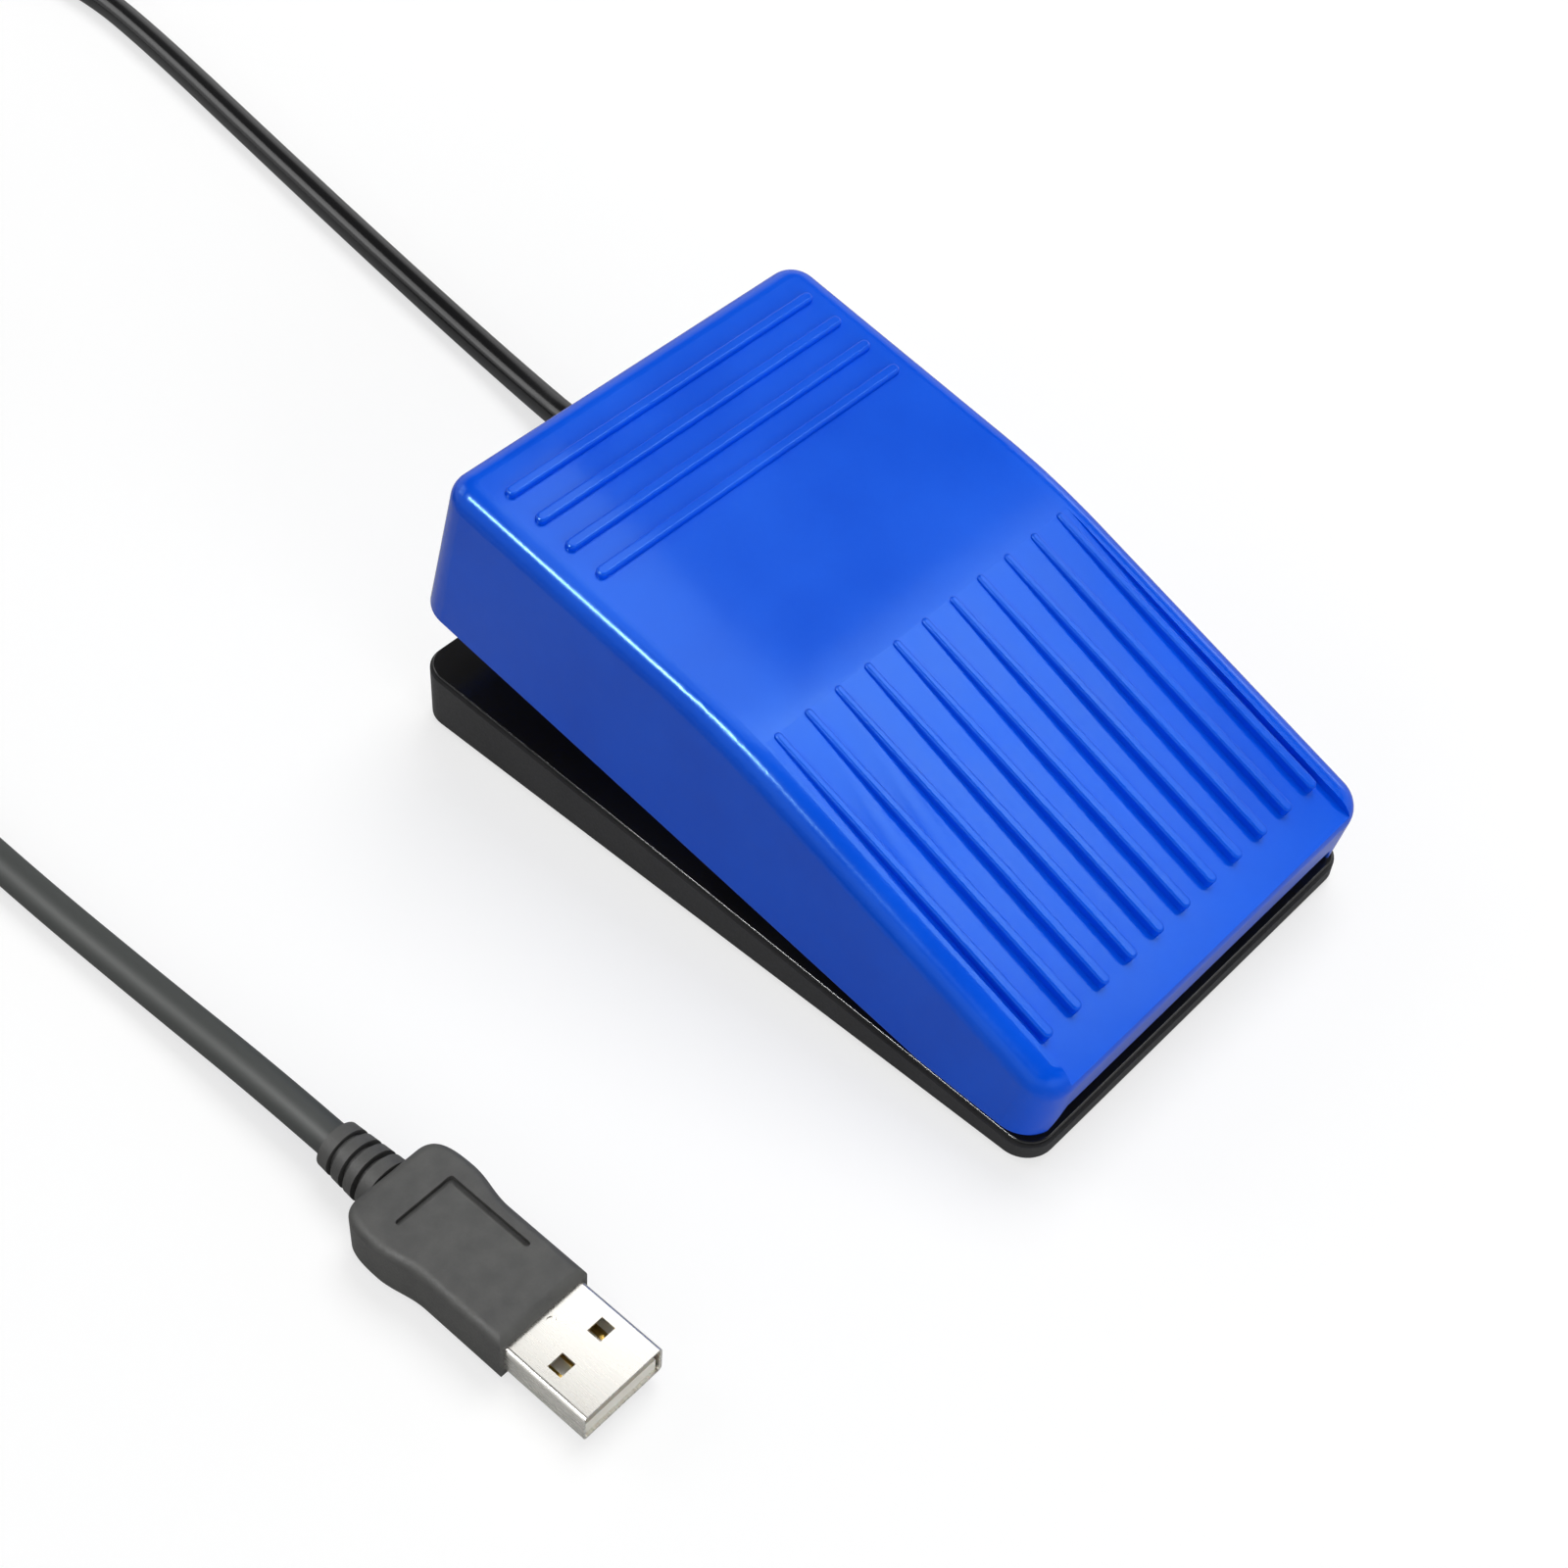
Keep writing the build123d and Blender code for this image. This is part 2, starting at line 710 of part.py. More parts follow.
# Long ribs: each has two round ends of different width, straight sides and a rounded crest
crest_tilt = math.radians(rest_tilt + heel_fall)
crest_stretch = 1 / math.cos(math.radians(heel_fall))
crest_plane = Plane(
    origin=side_plane.from_local_coords((hump_place, plateau_height + long_rib_rise, 0)),
    x_dir=(1, 0, 0),
    z_dir=(0, -math.sin(crest_tilt), math.cos(crest_tilt)),
)
first_round = (long_rib_start - hump_place) * crest_stretch - long_rib_start_width / 2
last_round = (long_rib_end - hump_place) * crest_stretch + long_rib_end_width / 2
with BuildPart() as long_ribs:
    for step in range(long_rib_count):
        across = (step - (long_rib_count - 1) / 2) * long_rib_pitch
        with BuildSketch(crest_plane):
            with Locations((across, first_round)):
                Circle(long_rib_start_width / 2)
            with Locations((across, last_round)):
                Circle(long_rib_end_width / 2)
            make_hull()
        extrude(amount=-(long_rib_rise + dish_heel_depth + cover_wall / 2))
    crests = long_ribs.faces().filter_by(lambda face: face.normal_at().dot(crest_plane.z_dir) > 0.9)
    fillet(crests.edges(), radius=long_rib_round)

# What the heel half is dished by: a shallow sweep under the top line, where the long ribs then stand
with BuildPart() as dish:
    with BuildSketch(cover_plane):
        with BuildLine():
            FilletPolyline(
                (dish_half_width, -2 * cover_heel),
                (dish_half_width, dish_start),
                (-dish_half_width, dish_start),
                (-dish_half_width, -2 * cover_heel),
                radius=dish_corner,
            )
            Line((-dish_half_width, -2 * cover_heel), (dish_half_width, -2 * cover_heel))
        make_face()
    extrude(amount=tall)
    with BuildSketch(side_plane):
        with BuildLine():
            dish_curve = ThreePointArc(
                (dish_start, crest(dish_start)),
                (dish_mid, crest(dish_mid) - dish_mid_depth),
                (-cover_heel, crest(-cover_heel) - dish_heel_depth),
            )
            Polyline(
                dish_curve @ 1,
                (-2 * cover_heel, crest(-2 * cover_heel) - dish_heel_depth),
                (-2 * cover_heel, tall),
                (dish_start, tall),
                dish_curve @ 0,
            )
        make_face()
    extrude(amount=base_width, both=True, mode=Mode.INTERSECT)

# Cover: a drafted shell with a level toe half and a falling, dished heel half
skirt_rise = math.tan(math.radians(rest_tilt - base_slope))
with BuildPart() as pedal_cover:
    with BuildSketch(cover_plane.offset(-skirt_depth)):
        with Locations((0, plan_middle)):
            RectangleRounded(base_width, cover_length, cover_corner)
    extrude(amount=skirt_depth + plateau_height + over, taper=cover_draft)
    with BuildSketch(side_plane) as side_profile:
        with BuildLine():
            Polyline(
                (-2 * cover_heel, -skirt_depth + (skirt_kink + 2 * cover_heel) * skirt_rise),
                (skirt_kink, -skirt_depth),
                (cover_length, -skirt_depth),
                (cover_length, plateau_height),
                (hump_place, plateau_height),
                (-2 * cover_heel, crest(-2 * cover_heel)),
                close=True,
            )
        make_face()
        hump = side_profile.vertices().sort_by_distance((hump_place, plateau_height, 0))[0]
        fillet(hump, radius=hump_radius)
    extrude(amount=base_width, both=True, mode=Mode.INTERSECT)
    tops = pedal_cover.faces().filter_by(lambda face: face.normal_at().dot(cover_up.direction) > 0.9)
    rim = [edge for edge in tops.edges() if sum(edge in face.edges() for face in tops) == 1]
    fillet(rim, radius=top_round)
    with BuildSketch(Plane(origin=cover_plane.origin, x_dir=(1, 0, 0), z_dir=(0, -tilt_cos, -tilt_sin))):
        with BuildLine():
            Polyline(
                (-lip_half_width - lip_ramp, -skirt_depth - over),
                (-lip_half_width, lip_height),
                (lip_half_width, lip_height),
                (lip_half_width + lip_ramp, -skirt_depth - over),
                close=True,
            )
        make_face()
    extrude(amount=2 * cover_heel, mode=Mode.SUBTRACT)
    walls = pedal_cover.faces().filter_by(lambda face: abs(face.normal_at().dot(cover_up.direction)) < 0.1)
    unders = pedal_cover.faces().filter_by(lambda face: face.normal_at().dot(cover_up.direction) < -0.3)
    skirt_edges = [
        edge
        for edge in unders.edges()
        if edge in walls.edges() and abs(cover_plane.to_local_coords(edge.center()).Y) > skirt_round
    ]
    fillet(skirt_edges, radius=skirt_round)
    for step in range(cross_rib_count):
        with BuildSketch(cover_plane.offset(plateau_height)):
            with Locations((0, cross_rib_last - step * cross_rib_pitch)):
                SlotOverall(2 * cross_rib_half_length, cross_rib_width)
        extrude(amount=cross_rib_height)
    fillet(pedal_cover.faces().sort_by(cover_up)[-cross_rib_count:].edges(), radius=cross_rib_round)
    add(dish.part, mode=Mode.SUBTRACT)
    add(long_ribs.part)
    add(hollow.part, mode=Mode.SUBTRACT)
    with BuildSketch(side_plane):
        Circle(pin_diameter / 2 + pin_running_clearance)
    extrude(amount=knuckle_centre + knuckle_width, both=True, mode=Mode.SUBTRACT)
print("long ribs", len(crests), "rim edges", len(rim), "skirt edges", len(skirt_edges))
write(pedal_cover.part, "pedal_cover")

# Circuit board on its posts, with the controller, small parts and the cord's header
board_bottom = floor_top + board_rise
board_top = board_bottom + board_thickness
with BuildPart() as circuit_board:
    with BuildSketch(Plane.XY.offset(board_bottom)):
        with Locations((board_x, board_y)):
            RectangleRounded(board_width, board_length, board_corner)
        with Locations(*board_screw_places):
            Circle(small_screw_diameter / 2 + switch_play, mode=Mode.SUBTRACT)
    extrude(amount=board_thickness)
write(circuit_board.part, "circuit_board")

capacitor_x = controller_x + controller_width + capacitor_diameter / 2
with BuildPart() as usb_controller:
    with BuildSketch(Plane.XY.offset(board_top + controller_standoff)):
        with Locations((controller_x, controller_y)):
            Rectangle(controller_width, controller_length)
    extrude(amount=controller_height - controller_standoff)
    with BuildSketch(Plane.XY.offset(board_top)):
        with Locations((controller_x, controller_y)):
            with GridLocations(
                controller_width + controller_pin_reach, controller_pin_pitch, 2, controller_pin_count // 2
            ):
                Rectangle(controller_pin_reach, controller_pin_width)
    extrude(amount=controller_pin_thickness)
write(usb_controller.part, "usb_controller")

with BuildPart() as board_components:
    with BuildSketch(Plane.XY.offset(board_top)):
        with Locations((controller_x - controller_width - chip_length, controller_y)):
            with GridLocations(0, 2 * chip_length, 1, 3):
                Rectangle(chip_width, chip_length)
        with Locations((controller_x, controller_y + controller_length)):
            with GridLocations(2 * chip_length, 0, 2, 1):
                Rectangle(chip_length, chip_width)
    extrude(amount=chip_height)
    with BuildSketch(Plane.XY.offset(board_top)):
        with Locations((capacitor_x, board_y - capacitor_diameter)):
            Circle(capacitor_diameter / 2)
    extrude(amount=capacitor_height)
write(board_components.part, "board_components")

core_z = board_top + header_height / 2
header_front = Plane(origin=(header_x + header_width / 2, header_y, core_z), x_dir=(0, 1, 0), z_dir=(1, 0, 0))
with BuildPart() as cable_header:
    with BuildSketch(Plane.XY.offset(board_top)):
        with Locations((header_x, header_y)):
            Rectangle(header_width, header_length)
    extrude(amount=header_height)
    with BuildSketch(header_front):
        with GridLocations(core_pitch, 0, 4, 1):
            Circle(core_diameter / 2 + cord_play)
    extrude(amount=-(header_width - header_wall), mode=Mode.SUBTRACT)
write(cable_header.part, "cable_header")

small_screw_length = small_screw_grip - screw_clearance
board_screws = Compound(
    children=[
        screw(x, y, board_top, board_thickness + small_screw_length,
              small_screw_diameter, small_screw_head, small_screw_head_height, -1)
        for x, y in board_screw_places
    ]
)
write(board_screws, "board_screws")

# Cord clamp: a band round the jacket with a tab screwed to its post
clamp_tab_bottom = floor_top + clamp_post_height
clamp_inner = cord_diameter / 2 + cord_play
tab_middle = (clamp_tab_length / 2 + clamp_band, clamp_tab_bottom + clamp_tab_thickness / 2 - cord_height)
with BuildPart() as cable_clamp:
    with BuildSketch(Plane(origin=(cord_x, clamp_y, cord_height), x_dir=(1, 0, 0), z_dir=(0, -1, 0))):
        Circle(clamp_inner + clamp_band)
        with Locations(tab_middle):
            Rectangle(clamp_tab_length, clamp_tab_thickness)
        Circle(clamp_inner, mode=Mode.SUBTRACT)
    extrude(amount=clamp_width / 2, both=True)
    with BuildSketch(Plane.XY.offset(clamp_tab_bottom)):
        with Locations(clamp_screw_place):
            Circle(small_screw_diameter / 2 + switch_play)
    extrude(amount=clamp_tab_thickness, mode=Mode.SUBTRACT)
write(cable_clamp.part, "cable_clamp")

clamp_screw = screw(*clamp_screw_place, clamp_tab_bottom + clamp_tab_thickness,
                    clamp_tab_thickness + small_screw_length,
                    small_screw_diameter, small_screw_head, small_screw_head_height, -1)
write(clamp_screw, "clamp_screw")

# Grommet: collar inside the wall, neck through it and a tapered boot outside
wall_face = Plane(origin=(cord_x, toe_y, cord_height), x_dir=(1, 0, 0), z_dir=(0, 1, 0))
with BuildPart() as cable_grommet:
    with BuildSketch(wall_face.offset(-base_wall)):
        Rectangle(grommet_collar_width, grommet_collar_height)
    extrude(amount=-grommet_collar_length)
    with BuildSketch(wall_face.offset(-base_wall)):
        Circle(grommet_hole_diameter / 2 - cord_play)
    extrude(amount=base_wall)
    with BuildSketch(wall_face):
        Circle(grommet_boot_diameter / 2)
    with BuildSketch(wall_face.offset(grommet_boot_length)):
        Circle(grommet_tip_diameter / 2)
    loft()
    with BuildSketch(wall_face.offset(-base_wall - grommet_collar_length)):
        Circle(cord_diameter / 2 + cord_play)
    extrude(amount=grommet_boot_length + base_wall + grommet_collar_length + over, mode=Mode.SUBTRACT)
write(cable_grommet.part, "cable_grommet")

# Wires: two from the switch to the board, four cores from the cord's jacket to the header
wire_starts = [switch_centre - terminal_pitch, switch_centre]
board_edge = board_y - board_length / 2
wires = []
for side, start in zip((-1, 1), wire_starts):
    route = [
        (side * switch_wire_spread, start - terminal_thickness, wire_z),
        (side * switch_wire_spread, switch_centre + 2 * terminal_pitch, wire_z),
        (controller_x / 2 + side * switch_wire_spread, board_edge - terminal_pitch / 2, wire_z),
        (controller_x / 2 + side * switch_wire_spread, board_edge + terminal_pitch / 2, wire_z),
    ]
    wires.append(tube(route, switch_wire_diameter)[0])
switch_wires = Compound(children=wires)
write(switch_wires, "switch_wires")

header_face = header_x + header_width / 2
cores = []
for index, (across, height) in enumerate(((-1, 1), (-1, -1), (1, -1), (1, 1))):
    y = header_y + (1.5 - index) * core_pitch
    start_x = cord_x + across * core_spread
    start_z = cord_height + height * core_spread
    route = [
        (start_x, cord_inner_end, start_z),
        (start_x, y, start_z),
        (start_x - 2 * core_bend - 2 * core_spread, y, core_z),
        (header_face - header_width / 2, y, core_z),
    ]
    cores.append(tube(route, core_diameter, core_bend)[0])
cable_wires = Compound(children=cores)
write(cable_wires, "cable_wires")


def arc_pair(start, start_heading, end, end_heading):
    """Two arcs that leave and arrive along the given headings and meet smoothly between them."""
    span = end - start
    joined = start_heading + end_heading
    a = 2 * (1 - start_heading.dot(end_heading))
    b = 2 * span.dot(joined)
    reach = (-b + math.sqrt(b * b + 4 * a * span.dot(span))) / (2 * a)
    first = start + start_heading * reach
    last = end - end_heading * reach
    return (first + last) / 2, (last - first).normalized()


# The spare length lies in one coil of piled loops: in, up a layer, out, up, in, up and out again
def coil_stations():
    """Places and headings on the coil, a quarter turn apart."""
    angle = math.radians(coil_start_angle)
    quarter = math.pi / 2
    radius = coil_radius
    height = cord_rest
    stations = []
    for layer, quarters in enumerate(coil_quarters):
        inward = -1 if layer % 2 == 0 else 1
        for step in range(quarters + 1):
            stations.append((angle, radius, height, inward, 0))
            if step < quarters:
                angle += quarter
                radius += inward * coil_turn_pitch / 4
        if layer < len(coil_quarters) - 1:
            angle += quarter
            radius += inward * coil_turn_pitch / 4
            stations.append((angle, radius, height + coil_layer_pitch / 2, 0, 1))
            angle += quarter
            radius -= inward * coil_turn_pitch / 4
            height += coil_layer_pitch
    return stations


climb_rate = 2 * coil_layer_pitch / math.pi
spots = []
for angle, radius, height, inward, climbing in coil_stations():
    outward = Vector(math.cos(angle), math.sin(angle), 0)
    around = Vector(-math.sin(angle), math.cos(angle), 0)
    drift = inward * coil_turn_pitch / (2 * math.pi)
    heading = around * radius + outward * drift + Vector(0, 0, climbing * climb_rate)
    spots.append((Vector(coil_x, coil_y, height) + outward * radius, heading.normalized()))
for place in (0, -1):
    angle = coil_stations()[place][0]
    spots[place] = (spots[place][0], Vector(-math.sin(angle), math.cos(angle), 0))
coil_start = spots[0][0] - spots[0][1] * cord_diameter
coil_end = spots[-1][0] + spots[-1][1] * cord_diameter
with BuildPart() as cord_coil:
    with BuildLine() as coil_route:
        Line(coil_start, spots[0][0])
        for (start, start_heading), (end, end_heading) in zip(spots, spots[1:]):
            middle, middle_heading = arc_pair(start, start_heading, end, end_heading)
            TangentArc(start, middle, tangent=start_heading)
            TangentArc(middle, end, tangent=middle_heading)
        Line(spots[-1][0], coil_end)
    with BuildSketch(Plane(origin=coil_start, z_dir=spots[0][1])):
        Circle(cord_diameter / 2)
    sweep()
write(cord_coil.part, "cord_coil")

# The seen stretches of the cord, laid on the surface, from hand-picked places
base_route = [
    (cord_x, cord_inner_end, cord_height),
    (cord_x, toe_y + straight_from_base, cord_height),
    (22.4, 90.0, 2.3),
    (26.5, 118.0, 2.3),
    (33.0, 158.0, 2.3),
    (39.2, 194.0, 2.3),
    (41.8, 216.0, 2.3),
    (39.0, 235.0, 2.3),
    (26.0, 254.0, 2.3),
    (3.0, 258.0, 2.3),
    (-23.0, 246.0, 2.3),
    tuple(coil_start - spots[0][1] * coil_lead_in),
    tuple(coil_start),
]
plug_route = [
    tuple(coil_end),
    tuple(coil_end + spots[-1][1] * coil_lead_out),
    (-86.6, 141.0, 9.0),
    (-86.8, 117.0, 2.3),
    (-87.6, 91.0, 2.3),
    (-88.0, 64.0, 2.3),
    (-87.4, 40.0, 2.3),
    (-87.3, 18.0, 4.0),
    (-87.3, 6.5, 4.0),
]
cord_base_run, base_run_length, base_radii = tube(base_route, cord_diameter)
cord_plug_run, plug_run_length, plug_radii = tube(plug_route, cord_diameter)
write(cord_base_run, "cord_base_run")
write(cord_plug_run, "cord_plug_run")

# The coil's own gap, measured on points along it
coil_path = coil_route.wire()
coil_length = coil_path.length
coil_points = [coil_path @ (step / coil_checks) for step in range(coil_checks + 1)]
apart = math.pi * cord_diameter / (coil_length / coil_checks)
coil_gap = min(
    (coil_points[i] - coil_points[j]).length - cord_diameter
    for i in range(coil_checks + 1)
    for j in range(i + math.ceil(apart) + 1, coil_checks + 1)
)
section = math.pi * cord_diameter ** 2 / 4
print("coil valid", cord_coil.part.is_valid, "length", round(coil_length, 1), "gap", round(coil_gap, 2))
print("coil start", coil_start, "end", coil_end)
print("volume shares", [
    round(part.volume / (section * length), 4)
    for part, length in (
        (cord_coil.part, coil_length), (cord_base_run, base_run_length), (cord_plug_run, plug_run_length)
    )
])
print("base run radii", [round(radius, 1) for radius in base_radii])
print("plug run radii", [round(radius, 1) for radius in plug_radii])
print("cord length", round(coil_length + base_run_length + plug_run_length, 1))

# Plug: strain relief, moulded grip, steel shell, insulator and contacts, pointing to -Y
mould_start = relief_start - relief_length
mould_end = mould_start - mould_length
shell_end = mould_end - shell_length
buried_end = Plane(origin=(plug_x, mould_end + shell_buried, plug_height), x_dir=(1, 0, 0), z_dir=(0, -1, 0))
along_plug = Plane(origin=(plug_x, relief_start, plug_height), x_dir=(0, -1, 0), z_dir=(1, 0, 0))
with BuildPart() as plug_strain_relief:
    with BuildSketch(along_plug):
        with BuildLine():
            Polyline(
                (0, 0),
                (0, relief_small_diameter / 2),
                (relief_length, relief_large_diameter / 2),
                (relief_length, 0),
                close=True,
            )
        make_face()
        for step in range(relief_grooves):
            place = relief_length / 2 + (step - (relief_grooves - 1) / 2) * relief_groove_pitch
            with Locations((place, relief_large_diameter / 2)):
                Rectangle(
                    relief_groove_width,
                    relief_large_diameter - relief_small_diameter + 2 * relief_groove_depth,
                    mode=Mode.SUBTRACT,
                )
    revolve(axis=Axis((plug_x, relief_start, plug_height), (0, -1, 0)))
write(plug_strain_relief.part, "plug_strain_relief")

with BuildPart() as plug_overmould:
    with BuildSketch(Plane.XY.offset(plug_height - mould_thickness / 2)):
        with BuildLine():
            shoulder = Spline(
                (plug_x + mould_rear_width / 2, mould_start),
                (plug_x + mould_width / 2, mould_start - mould_shoulder),
                tangents=[(1, 0), (0, -1)],
            )
            waist = Spline(
                shoulder @ 1,
                (plug_x + mould_front_width / 2, mould_start - mould_waist),
                tangents=[(0, -1), (0, -1)],
            )
            flank = Line(waist @ 1, (plug_x + mould_front_width / 2, mould_end))
            Line(flank @ 1, (plug_x, mould_end))
            Line((plug_x, mould_start), shoulder @ 0)
            mirror(about=Plane(origin=(plug_x, 0, 0), z_dir=(1, 0, 0)))
        make_face()
    extrude(amount=mould_thickness)
    fillet(plug_overmould.faces().filter_by(Axis.Z).edges(), radius=mould_round)
    with BuildSketch(Plane.XY.offset(plug_height + mould_thickness / 2)):
        with BuildLine():
            mark = Polyline(
                (plug_x - mark_left, mould_end + mark_near),
                (plug_x + mark_right, mould_end + mark_near),
                (plug_x + mark_right, mould_end + mark_far),
            )
            offset(mark, amount=mark_width / 2)
        make_face()
    extrude(amount=-mark_depth, mode=Mode.SUBTRACT)
    with BuildSketch(buried_end):
        RectangleRounded(shell_width, shell_thickness, shell_corner)
    extrude(amount=shell_buried, mode=Mode.SUBTRACT)
write(plug_overmould.part, "plug_overmould")

with BuildPart() as plug_shell:
    with BuildSketch(buried_end):
        RectangleRounded(shell_width, shell_thickness, shell_corner)
        RectangleRounded(
            shell_width - 2 * shell_wall, shell_thickness - 2 * shell_wall, shell_corner - shell_wall,
            mode=Mode.SUBTRACT,
        )
    extrude(amount=shell_buried + shell_length)
    with BuildSketch(Plane.XY):
        with Locations((plug_x, mould_end - window_from_mould)):
            with GridLocations(2 * window_x, 0, 2, 1):
                Rectangle(window_width, window_length)
    extrude(amount=plug_height + shell_thickness, mode=Mode.SUBTRACT)
    with BuildSketch(Plane.XY.offset(plug_height + shell_thickness / 2)):
        with Locations((plug_x, mould_end - crimp_from_mould)):
            Circle(crimp_diameter / 2)
    extrude(amount=-crimp_depth, mode=Mode.SUBTRACT)
write(plug_shell.part, "plug_shell")

with BuildPart() as plug_tongue:
    with BuildSketch(buried_end):
        with Locations((0, tongue_thickness / 2 - shell_thickness / 2 + shell_wall)):
            Rectangle(shell_width - 2 * shell_corner, tongue_thickness)
    extrude(amount=shell_buried + shell_length - tongue_set_back)
write(plug_tongue.part, "plug_tongue")

tongue_top = plug_height + tongue_thickness - shell_thickness / 2 + shell_wall
contact_front = shell_end + tongue_set_back + contact_set_back
contact_sizes = ((contact_inner_x, contact_inner_length), (contact_outer_x, contact_outer_length))
with BuildPart() as plug_contacts:
    with BuildSketch(Plane.XY.offset(tongue_top)):
        for side in (-1, 1):
            for across, length in contact_sizes:
                with Locations((plug_x + side * across, contact_front + length / 2)):
                    Rectangle(contact_width, length)
    extrude(amount=contact_thickness)
write(plug_contacts.part, "plug_contacts")
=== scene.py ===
# USB foot pedal switch: a blue rocking cover on a black wedge base, with its lead and plug
import math

import bmesh
import bpy
import numpy as np
from mathutils import Matrix, Vector


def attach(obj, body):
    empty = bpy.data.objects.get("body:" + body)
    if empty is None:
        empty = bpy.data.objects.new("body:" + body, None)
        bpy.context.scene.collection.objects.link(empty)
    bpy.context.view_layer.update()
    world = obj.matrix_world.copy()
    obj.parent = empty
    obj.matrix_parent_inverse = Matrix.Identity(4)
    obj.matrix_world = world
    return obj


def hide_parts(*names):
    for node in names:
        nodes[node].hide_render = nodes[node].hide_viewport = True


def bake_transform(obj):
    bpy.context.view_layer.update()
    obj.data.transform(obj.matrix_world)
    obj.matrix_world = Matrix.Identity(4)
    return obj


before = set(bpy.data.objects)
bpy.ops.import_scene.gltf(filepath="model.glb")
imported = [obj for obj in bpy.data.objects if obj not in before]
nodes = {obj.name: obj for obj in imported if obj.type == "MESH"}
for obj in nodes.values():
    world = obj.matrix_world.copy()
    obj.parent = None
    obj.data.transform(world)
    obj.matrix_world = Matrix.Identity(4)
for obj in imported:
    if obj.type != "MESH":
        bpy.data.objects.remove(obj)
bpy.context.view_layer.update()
scene = bpy.context.scene
scene.view_settings.view_transform = "Standard"
print("frame loaded:", len(nodes), "nodes")

# Camera, as the photograph was taken: from the heel's left, a little rolled
photoCamera = {
    "place": (-0.18720, -0.13275, 0.25904),
    "back": (-0.5193, -0.4106, 0.7495),
    "rollDegrees": 4.963,
    "lensMm": 60.35,
    "sensorMm": 36.0,
    "clipStart": 0.01,
}


def cameraTurn(back, rollDegrees):
    # columns are right, up and back, turned by the roll about the line of sight
    back = Vector(back).normalized()
    level = Vector((0, 0, 1)).cross(back).normalized()
    upright = back.cross(level)
    roll = math.radians(rollDegrees)
    right = level * math.cos(roll) + upright * math.sin(roll)
    up = upright * math.cos(roll) - level * math.sin(roll)
    return Matrix((right, up, back)).transposed()


def makeCamera(c):
    data = bpy.data.cameras.new("photoCamera")
    data.sensor_width = c["sensorMm"]
    data.lens = c["lensMm"]
    data.clip_start = c["clipStart"]
    camera = bpy.data.objects.new("photoCamera", data)
    scene.collection.objects.link(camera)
    turn = cameraTurn(c["back"], c["rollDegrees"]).to_4x4()
    camera.matrix_world = Matrix.Translation(c["place"]) @ turn
    scene.camera = camera


makeCamera(photoCamera)
print("camera placed")

# Lead: out of the toe wall, along the table, into a round coil of its spare length and on to the plug
lead = {
    "diameter": 0.0045,
    "length": 1.78,
    "exit": (0.0180, 0.0610, 0.0052),
    "fromBase": [
        (0.0180, 0.0380, 0.0052), (0.0180, 0.0700, 0.0052), (0.0224, 0.0900, 0.0023),
        (0.0265, 0.1180, 0.0023), (0.0330, 0.1580, 0.0023), (0.0392, 0.1940, 0.0023),
        (0.0418, 0.2160, 0.0023), (0.0390, 0.2350, 0.0023), (0.0260, 0.2540, 0.0023),
        (0.0030, 0.2580, 0.0023), (-0.0230, 0.2460, 0.0023), (-0.0470, 0.2283, 0.0023),
        (-0.07186, 0.21926, 0.0023),
    ],
    "toPlug": [
        (-0.09340, 0.17524, 0.01745), (-0.08862, 0.16208, 0.01745), (-0.0866, 0.1410, 0.0090),
        (-0.0868, 0.1170, 0.0023), (-0.0876, 0.0910, 0.0023), (-0.0880, 0.0640, 0.0023),
        (-0.0874, 0.0400, 0.0023), (-0.0873, 0.0180, 0.0040), (-0.0873, 0.0065, 0.0040),
    ],
    "coilCentre": (-0.066, 0.190),
    "coilRadius": 0.0295,
    "coilFloor": 0.0023,
    "turnPitch": 0.0052,
    "layerPitch": 0.00505,
    "layerQuarters": (7, 6, 6, 8),
    "startDegrees": 110.0,
    "stepsPerQuarter": 4,
    "ringRoundness": 10,
    "stepsPerPlace": 12,
}


def coilPlaces(c):
    # Each layer winds in or out by one pitch a turn, then half a turn climbs to the next layer.
    # The places stand out by one over the cosine of half a step, so that the smooth line keeps the radius.
    radii, heights = [c["coilRadius"]], [c["coilFloor"]]
    quarter = c["turnPitch"] / 4
    for layer, count in enumerate(c["layerQuarters"]):
        inward = -1 if layer % 2 == 0 else 1
        radii += [radii[-1] + inward * quarter * (step + 1) for step in range(count)]
        heights += [heights[-1]] * count
        if layer < len(c["layerQuarters"]) - 1:
            radii += [radii[-1] + inward * quarter, radii[-1]]
            heights += [heights[-1] + c["layerPitch"] / 2, heights[-1] + c["layerPitch"]]
    steps = (len(radii) - 1) * c["stepsPerQuarter"]
    quarters = (np.arange(steps) + 0.5) / c["stepsPerQuarter"]
    angle = np.radians(c["startDegrees"]) + quarters * math.pi / 2
    stand = 1 / math.cos(math.pi / 4 / c["stepsPerQuarter"])
    radius = np.interp(quarters, np.arange(len(radii)), radii) * stand
    height = np.interp(quarters, np.arange(len(heights)), heights)
    x = c["coilCentre"][0] + radius * np.cos(angle)
    y = c["coilCentre"][1] + radius * np.sin(angle)
    return [tuple(place) for place in np.stack([x, y, height], 1).tolist()]


